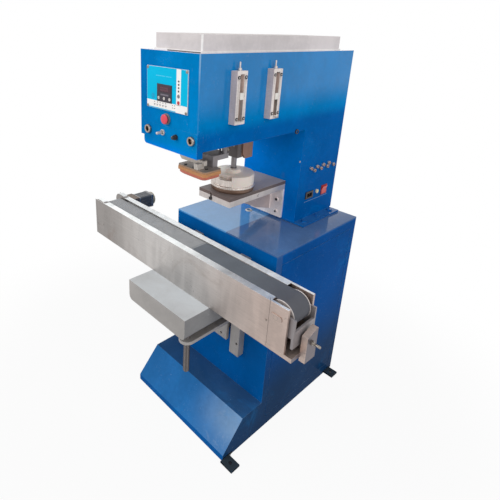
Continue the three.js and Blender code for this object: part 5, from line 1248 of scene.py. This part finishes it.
class PADPRINTER_OT_conveyor(Build, Operator):
    """Finish the conveyor's sheet work and make its belt"""

    bl_idname = "padprinter.conveyor"
    bl_label = "Conveyor and belt"

    def build(self):
        conveyor = chosen("conveyor")
        sheet = brushed_finish()
        dress("conveyor_side_front", sheet, 0.7)
        dress("conveyor_side_rear", sheet, 0.7)
        plates = brushed_finish("Conveyor end steel", lines=(60, 60, 500), smears=14)
        for node in ("conveyor_end_front", "conveyor_end_rear", "conveyor_base", "belt_bed"):
            dress(node, plates, 0.7)
        screws = Shape()
        # Painted glint: the screw at x -64 is near white, as if light catches it.
        for x, z in ((-580, 618), (-536, 631), (-64, 665), (359, 663)):
            screws.socket_screw((x, -184, z), "-Y", 3.6, 1.2, slot=1 if x == -64 else 0)
        screw_glint = milled_finish("Bright screw", base=ink(250, 250, 250))
        screws.done("side_screws", "lift", [turned_finish(), screw_glint], 0.2)
        cover = Shape()
        walls = []
        for inset, level in ((0.8, -185.7), (0.8, -184.05), (0, -184.05), (0, -186.5)):
            outline = rounded_outline(371 + inset, 413 - inset, 681.5 + inset, 700.5 - inset, 9.4 - inset)
            walls.append([lifted(u, v, level, "Y") for u, v in outline])
        cover.rings(walls)
        cover.turned([(7.4, -186.3), (7.4, -186.8), (8.2, -186.8), (8.2, -186.3)], (391.5, 0, 690.8), "Y", 40,
                     slot=1, closed=True)
        cover.slab(square(367.2, 368, 580, 744), -184.25, -183.6, "Y", 2)
        cover.done("axle_cover", "lift", [sheet, turned_finish(), black_plastic()], 0.3)
        self.belt(conveyor)

    def belt(self, conveyor):
        """Endless belt round both rollers, with a spliced joint."""
        radii = (("drive_roller", 27.0), ("idler_roller", 39.5))
        drive, idler = [(*middle(node)[::2], radius) for node, radius in radii]
        low, high = ends("conveyor_belt")
        thick, gap = 2.5, 0.3
        span = math.hypot(idler[0] - drive[0], idler[1] - drive[1])
        lean = math.asin((idler[2] - drive[2]) / span)
        base = math.atan2(idler[1] - drive[1], idler[0] - drive[0])
        steps = conveyor.belt_arc_steps
        path = []
        for (cx, cz, radius), start, end in ((idler, base - math.pi / 2 - lean, base + math.pi / 2 + lean),
                                             (drive, base + math.pi / 2 + lean, base + math.pi * 1.5 - lean)):
            for k in range(steps + 1):
                angle = start + (end - start) * k / steps
                path.append((cx, cz, radius, angle))
        edge = 0.5
        section = [(low.y, gap), (low.y, gap + thick - edge), (low.y + edge, gap + thick),
                   (high.y - edge, gap + thick), (high.y, gap + thick - edge), (high.y, gap)]
        belt = Shape()
        belt.rings([[(cx + (radius + out) * math.cos(angle), y, cz + (radius + out) * math.sin(angle))
                     for y, out in section] for cx, cz, radius, angle in path], closed=True)

        def worn(made):
            # A paler stretch left of the splice, partly the belt's own colour and partly painted reflection, a pale
            # joint line at the splice, and a darker right end.
            x = made.split(made.place)[0]
            made.tint(made.spread(x, 0.008, -0.012), conveyor.belt_pale_stretch, 0.9)
            weave = made.vector("MULTIPLY", made.place, (900, 900, 900))
            made.bump(made.noise(weave, 1.0, 2.0), 0.00015, 0.4)
            joint = made.spread(made.sum("ABSOLUTE", x), 0.003, 0.0)
            made.tint(joint, ink(196, 198, 200), 0.5)
            made.tint(made.spread(x, 0.2, 0.42), ink(78, 78, 85), 0.8)

        cover = finished("Belt cover", moulded, conveyor.belt, 0.58, size=160.0, depth=0.2, specular=0.3, before=worn)
        belt.done("belt_loop", "lift", [cover], angle=40, node="conveyor_belt")


class PADPRINTER_OT_rollers(Build, Operator):
    """Turn both rollers, and finish the take-up yoke and its screw"""

    bl_idname = "padprinter.rollers"
    bl_label = "Rollers and take-up"

    def build(self):
        low, high = ends("idler_roller")
        x, _, z = middle("idler_roller")
        y0, y1 = low.y, high.y
        idler = Shape()
        idler.turned([(8.3, y0 + 6), (20, y0 + 2), (24, y0), (43, y0), (44, y0 + 0.8), (44, y0 + 2.4), (43.4, y0 + 3),
                      (39.5, y0 + 3), (39.5, y1 - 3), (43.4, y1 - 3), (44, y1 - 2.4), (44, y1 - 0.8), (43, y1),
                      (24, y1), (20, y1 - 2), (8.3, y1 - 6)], (x, 0, z), "Y", 112, closed=True)
        idler.done("idler_drum", "idler_roller", [milled_finish("Roller aluminium", lines=300)],
                   angle=35, node="idler_roller")
        low, high = ends("drive_roller")
        x, _, z = middle("drive_roller")
        drive = Shape()
        drive.turned([(0, low.y), (7.2, low.y), (8, low.y + 0.8), (8, -158), (26.2, -158), (27, -157.2), (27, -82.8),
                      (26.2, -82), (8, -82), (8, high.y), (0, high.y)], (x, 0, z), "Y", 80)
        drive.block((x - 1.2, low.y + 0.2, z + 6.6), (x + 1.2, low.y + 12, z + 7.9))
        drive.done("drive_drum", "drive_roller", [turned_finish()], angle=35, node="drive_roller")
        dress("take_up_yoke", milled_finish("Yoke steel", base=ink(150, 144, 146)), 0.8)
        screw = Shape()
        screw.thread(TAKE_UP_SCREW, "X", 4, 431.2, 486, 1.25, 16, 5)
        screw.turned([(3.4, 485.6), (3.9, 486.4), (3.9, 502.6), (3.0, 504), (0, 504)], TAKE_UP_SCREW, "X", 24)
        screw.hexagon((431.2, -120, 624), "X", 7.9, 8.2)
        screw.done("take_up_rod", "take_up_screw", [turned_finish()], angle=40, node="take_up_screw")
        walls = [(6.6, 475), (6.6, 480.4), (6, 481)]
        Shape().nut(walls, 4.35, TAKE_UP_SCREW, "X").done("take_up_lock_nut", "lift", [turned_finish()])


class PADPRINTER_OT_motor(Build, Operator):
    """Make the gear motor: gearhead, motor body, ribs and end cap"""

    bl_idname = "padprinter.motor"
    bl_label = "Gear motor"

    def build(self):
        low, high = ends("gear_motor")
        x, _, z = middle("gear_motor")
        motor = Shape()

        def layer(y0, y1, inset, radius, slot):
            outline = rounded_outline(low.x + inset, high.x - inset, low.z + inset, high.z - inset, radius)
            motor.slab(outline, y0, y1, "Y", slot)

        for layers in ((-56, -24.4, 0, 2.4, 0), (-24.6, -22.8, 0.9, 2.4, 3), (-23, -20, 0, 2.4, 0),
                       (-20.2, -12, 2, 7, 3), (-12.2, 46, 3.4, 7, 1), (45.8, 58, 2, 7, 3)):
            layer(*layers)
        for u, v in CORNERS:
            motor.turned([(3.6, -12.1), (3.6, 45.9), (0, 45.9)], (x + u * 24.6, 0, z + v * 24.6), "Y", 24, 3)
        for y in range(-6, 49, 11):
            layer(y, y + 3.2, 2.9, 7, 1)
        motor.turned([(30.6, 58), (31, 58.4), (31, 60.4), (29.6, 61), (29.2, 69.6), (27.6, 71.6), (25.4, 72), (0, 72)],
                     (x, 0, z), "Y", 72, 2)
        dark = finished("Motor enamel", painted, ink(88, 93, 100), 0.38, wear=0.7, bare=ink(150, 148, 146),
                        dust=ink(120, 118, 116), dust_amount=0.4, specular=0.4)
        gear = finished("Gearhead metal", metal, ink(128, 116, 108), 0.42, lines=260, smears=30,
                        stain=ink(84, 66, 56), stain_amount=0.4)
        beige = finished("Motor cap", moulded, ink(186, 176, 150), 0.4)
        silver = finished("Motor alloy", metal, ink(160, 160, 162), 0.4, lines=260, smears=30)
        motor.done("gear_motor_unit", "lift", [gear, dark, beige, silver], 0.5, node="gear_motor")
        screws = Shape()
        for u, v in CORNERS:
            screws.socket_screw((x + u * 27, -23.4, z + v * 27), "Y", 3.0, 0.6)
            screws.socket_screw((x + u * 22, 57.9, z + v * 22), "Y", 2.8, 1.6)
        screws.done("motor_screws", "lift", [dark_finish()])


class PADPRINTER_OT_box(Build, Operator):
    """Paint the control box under the conveyor"""

    bl_idname = "padprinter.box"
    bl_label = "Control box"

    def build(self):
        paint = chosen("paint")

        def seam_and_shaded_side(made):
            made.region((111.4, -300, 560), (112.6, -190, 580), ink(96, 96, 98), strength=0.8)
            # Painted shade: faces that look to the right are darker grey.
            made.tint(made.spread(made.split(made.normal())[0], 0.3, 0.9), ink(126, 127, 130), 0.8)

        grey = finished("Box paint", painted, paint.box, 0.4, wear=0.5, bare=ink(214, 214, 214),
                        dust=ink(206, 212, 216), dust_amount=0.9, before=seam_and_shaded_side, specular=0.3)
        dress("control_box", grey, 1.4)


class PADPRINTER_OT_lift(Build, Operator):
    """Finish the lift rails, slide and arm, and cut the height spindle's thread"""

    bl_idname = "padprinter.lift"
    bl_label = "Height adjustment"

    def build(self):
        conveyor = chosen("conveyor")
        rail = milled_finish("Rail steel", lines=(300, 300, 20), stain=ink(104, 96, 90), stain_amount=0.4,
                             base=ink(160, 156, 154))
        for node in ("lift_rail_left", "lift_rail_right", "lift_slide", "height_arm"):
            dress(node, rail, 0.8)
        x, y, _ = middle("height_spindle")
        pitch = conveyor.thread_pitch / MM
        rusty = finished("Spindle steel", metal, ink(94, 89, 88), 0.42, lines=(500, 500, 200), smears=(40, 40, 20),
                         stain=ink(92, 70, 54), stain_amount=0.4)
        spindle = Shape()
        spindle.turned([(0, 333), (8.4, 333), (9.4, 334.4), (9.2, 336)], (x, y, 0), steps=40)
        spindle.thread((x, y, 0), "Z", 11, 336, 486, pitch, 32, 8)
        spindle.turned([(17, 487.7), (17, 492.9), (16.2, 493.7), (8, 493.7), (8, 496.8), (13, 496.8), (13, 503),
                        (12, 503.8), (8, 503.8), (8, 516), (7, 516.5), (0, 516.5)], (x, y, 0), steps=40)
        spindle.done("height_screw_rod", "height_spindle", [rusty], angle=40, node="height_spindle")


class PADPRINTER_OT_stage(Build, Operator):
    """Set the pale floor, the soft lamps and the camera"""

    bl_idname = "padprinter.stage"
    bl_label = "Floor, lamps and camera"

    def build(self):
        scene, stage = bpy.context.scene, chosen("stage")
        self.floor(stage)
        self.world(stage)
        self.lamp("Front lamp", (-1.5, -3.0, 2.7), (0, -0.1, 0.9), 2.4, stage.key)
        self.lamp("Side lamp", (3.0, -0.6, 2.5), (0.1, 0, 1.1), 2.0, stage.side)
        self.camera(scene, stage)
        scene.view_settings.view_transform = "Standard"

    def floor(self, stage):
        """Large floor that turns plain white away from the machine."""
        shape = bmesh.new()
        bmesh.ops.create_grid(shape, x_segments=2, y_segments=2, size=30)
        data = bpy.data.meshes.new("floor")
        shape.to_mesh(data)
        shape.free()
        made = bpy.data.objects.new("floor", data)
        bpy.context.scene.collection.objects.link(made)
        material = bpy.data.materials.new("Floor")
        material.use_nodes = True
        material.node_tree.nodes.clear()
        tree = Tree(material.node_tree)
        place = tree.node("TexCoord").outputs["Object"]
        away = tree.node("VectorMath", {0: place}, operation="LENGTH").outputs["Value"]
        plain = tree.node("BsdfDiffuse", {0: stage.floor})
        white = tree.node("Emission", {0: (1, 1, 1), 1: 1.0})
        seen = self.seen(tree)
        share_white = tree.times(seen, tree.spread(away, 0.8, 1.6, 0.93, 1.0))
        both = tree.node("MixShader", {0: share_white, 1: plain.outputs[0], 2: white.outputs[0]})
        tree.node("OutputMaterial", {0: both.outputs[0]})
        data.materials.append(material)

    def seen(self, tree):
        """One where the camera, a gloss or a glass ray looks."""
        path = tree.node("LightPath").outputs
        first = tree.sum("MAXIMUM", path["Is Camera Ray"], path["Is Glossy Ray"])
        return tree.sum("MAXIMUM", first, path["Is Transmission Ray"])

    def world(self, stage):
        """White surroundings, with plainer light from them on the object."""
        world = bpy.data.worlds.new("Surroundings")
        bpy.context.scene.world = world
        world.use_nodes = True
        world.node_tree.nodes.clear()
        tree = Tree(world.node_tree)
        seen = self.seen(tree)
        strength = tree.sum("ADD", tree.times(seen, 1.0 - stage.ambient), stage.ambient)
        background = tree.node("Background", {0: (1, 1, 1), 1: strength})
        tree.node("OutputWorld", {0: background.outputs[0]})

    def lamp(self, name, place, aim, size, power):
        """Soft square lamp aimed at a point."""
        data = bpy.data.lights.new(name, "AREA")
        data.size = size
        data.energy = power
        made = bpy.data.objects.new(name, data)
        made.location = place
        made.rotation_euler = (Vector(aim) - Vector(place)).to_track_quat("-Z", "Y").to_euler()
        bpy.context.scene.collection.objects.link(made)

    def camera(self, scene, stage):
        """Camera at the photograph's place, with its slight roll and off-centre framing."""
        turn, rise, roll = [math.radians(angle) for angle in (CAMERA_TURN, CAMERA_RISE, CAMERA_ROLL)]
        right = Vector((math.cos(turn), math.sin(turn), 0))
        ahead = Vector((-math.sin(turn) * math.cos(rise), math.cos(turn) * math.cos(rise), -math.sin(rise)))
        up = right.cross(ahead)
        across = right * math.cos(roll) + up * math.sin(roll)
        above = up * math.cos(roll) - right * math.sin(roll)
        data = bpy.data.cameras.new("Camera")
        data.sensor_width = 36
        data.lens = stage.lens
        data.shift_x, data.shift_y = CAMERA_SHIFT
        data.clip_end = 200
        made = bpy.data.objects.new("Camera", data)
        place = Vector(CAMERA_PLACE) * MM
        made.matrix_world = Matrix.Translation(place) @ Matrix((across, above, -ahead)).transposed().to_4x4()
        scene.collection.objects.link(made)
        scene.camera = made


OPERATORS = (
    PADPRINTER_OT_cabinet, PADPRINTER_OT_head, PADPRINTER_OT_panel, PADPRINTER_OT_controls, PADPRINTER_OT_adjusters,
    PADPRINTER_OT_carriage, PADPRINTER_OT_pad, PADPRINTER_OT_cup, PADPRINTER_OT_bed, PADPRINTER_OT_services,
    PADPRINTER_OT_conveyor, PADPRINTER_OT_rollers, PADPRINTER_OT_motor, PADPRINTER_OT_box, PADPRINTER_OT_lift,
    PADPRINTER_OT_stage,
)


class PADPRINTER_PT_pieces(Panel):
    """Sidebar list of the machine's pieces"""

    bl_idname = "PADPRINTER_PT_pieces"
    bl_label = "Pad printing machine"
    bl_space_type = "VIEW_3D"
    bl_region_type = "UI"
    bl_category = "Pad printer"

    def draw(self, context):
        for holder in SETTINGS:
            settings = getattr(context.scene, holder)
            box = self.layout.box()
            for name in settings.__annotations__:
                box.prop(settings, name)
        for operator in OPERATORS:
            self.layout.operator(operator.bl_idname)


SETTINGS = {
    "printer_paint": PaintSettings,
    "printer_metal": MetalSettings,
    "printer_panel": PanelSettings,
    "printer_pad": PadSettings,
    "printer_conveyor": ConveyorSettings,
    "printer_stage": StageSettings,
}


def register():
    for made in (*SETTINGS.values(), *OPERATORS, PADPRINTER_PT_pieces):
        bpy.utils.register_class(made)
    for name, kind in SETTINGS.items():
        setattr(bpy.types.Scene, name, PointerProperty(type=kind))


def unregister():
    for name in SETTINGS:
        delattr(bpy.types.Scene, name)
    for made in reversed((*SETTINGS.values(), *OPERATORS, PADPRINTER_PT_pieces)):
        bpy.utils.unregister_class(made)


def main():
    register()
    for operator in OPERATORS:
        group, name = operator.bl_idname.split(".")
        if getattr(getattr(bpy.ops, group), name)() != {"FINISHED"}:
            raise RuntimeError(f"{operator.bl_label} was not finished")
    bpy.context.view_layer.update()


if __name__ == "__main__":
    main()
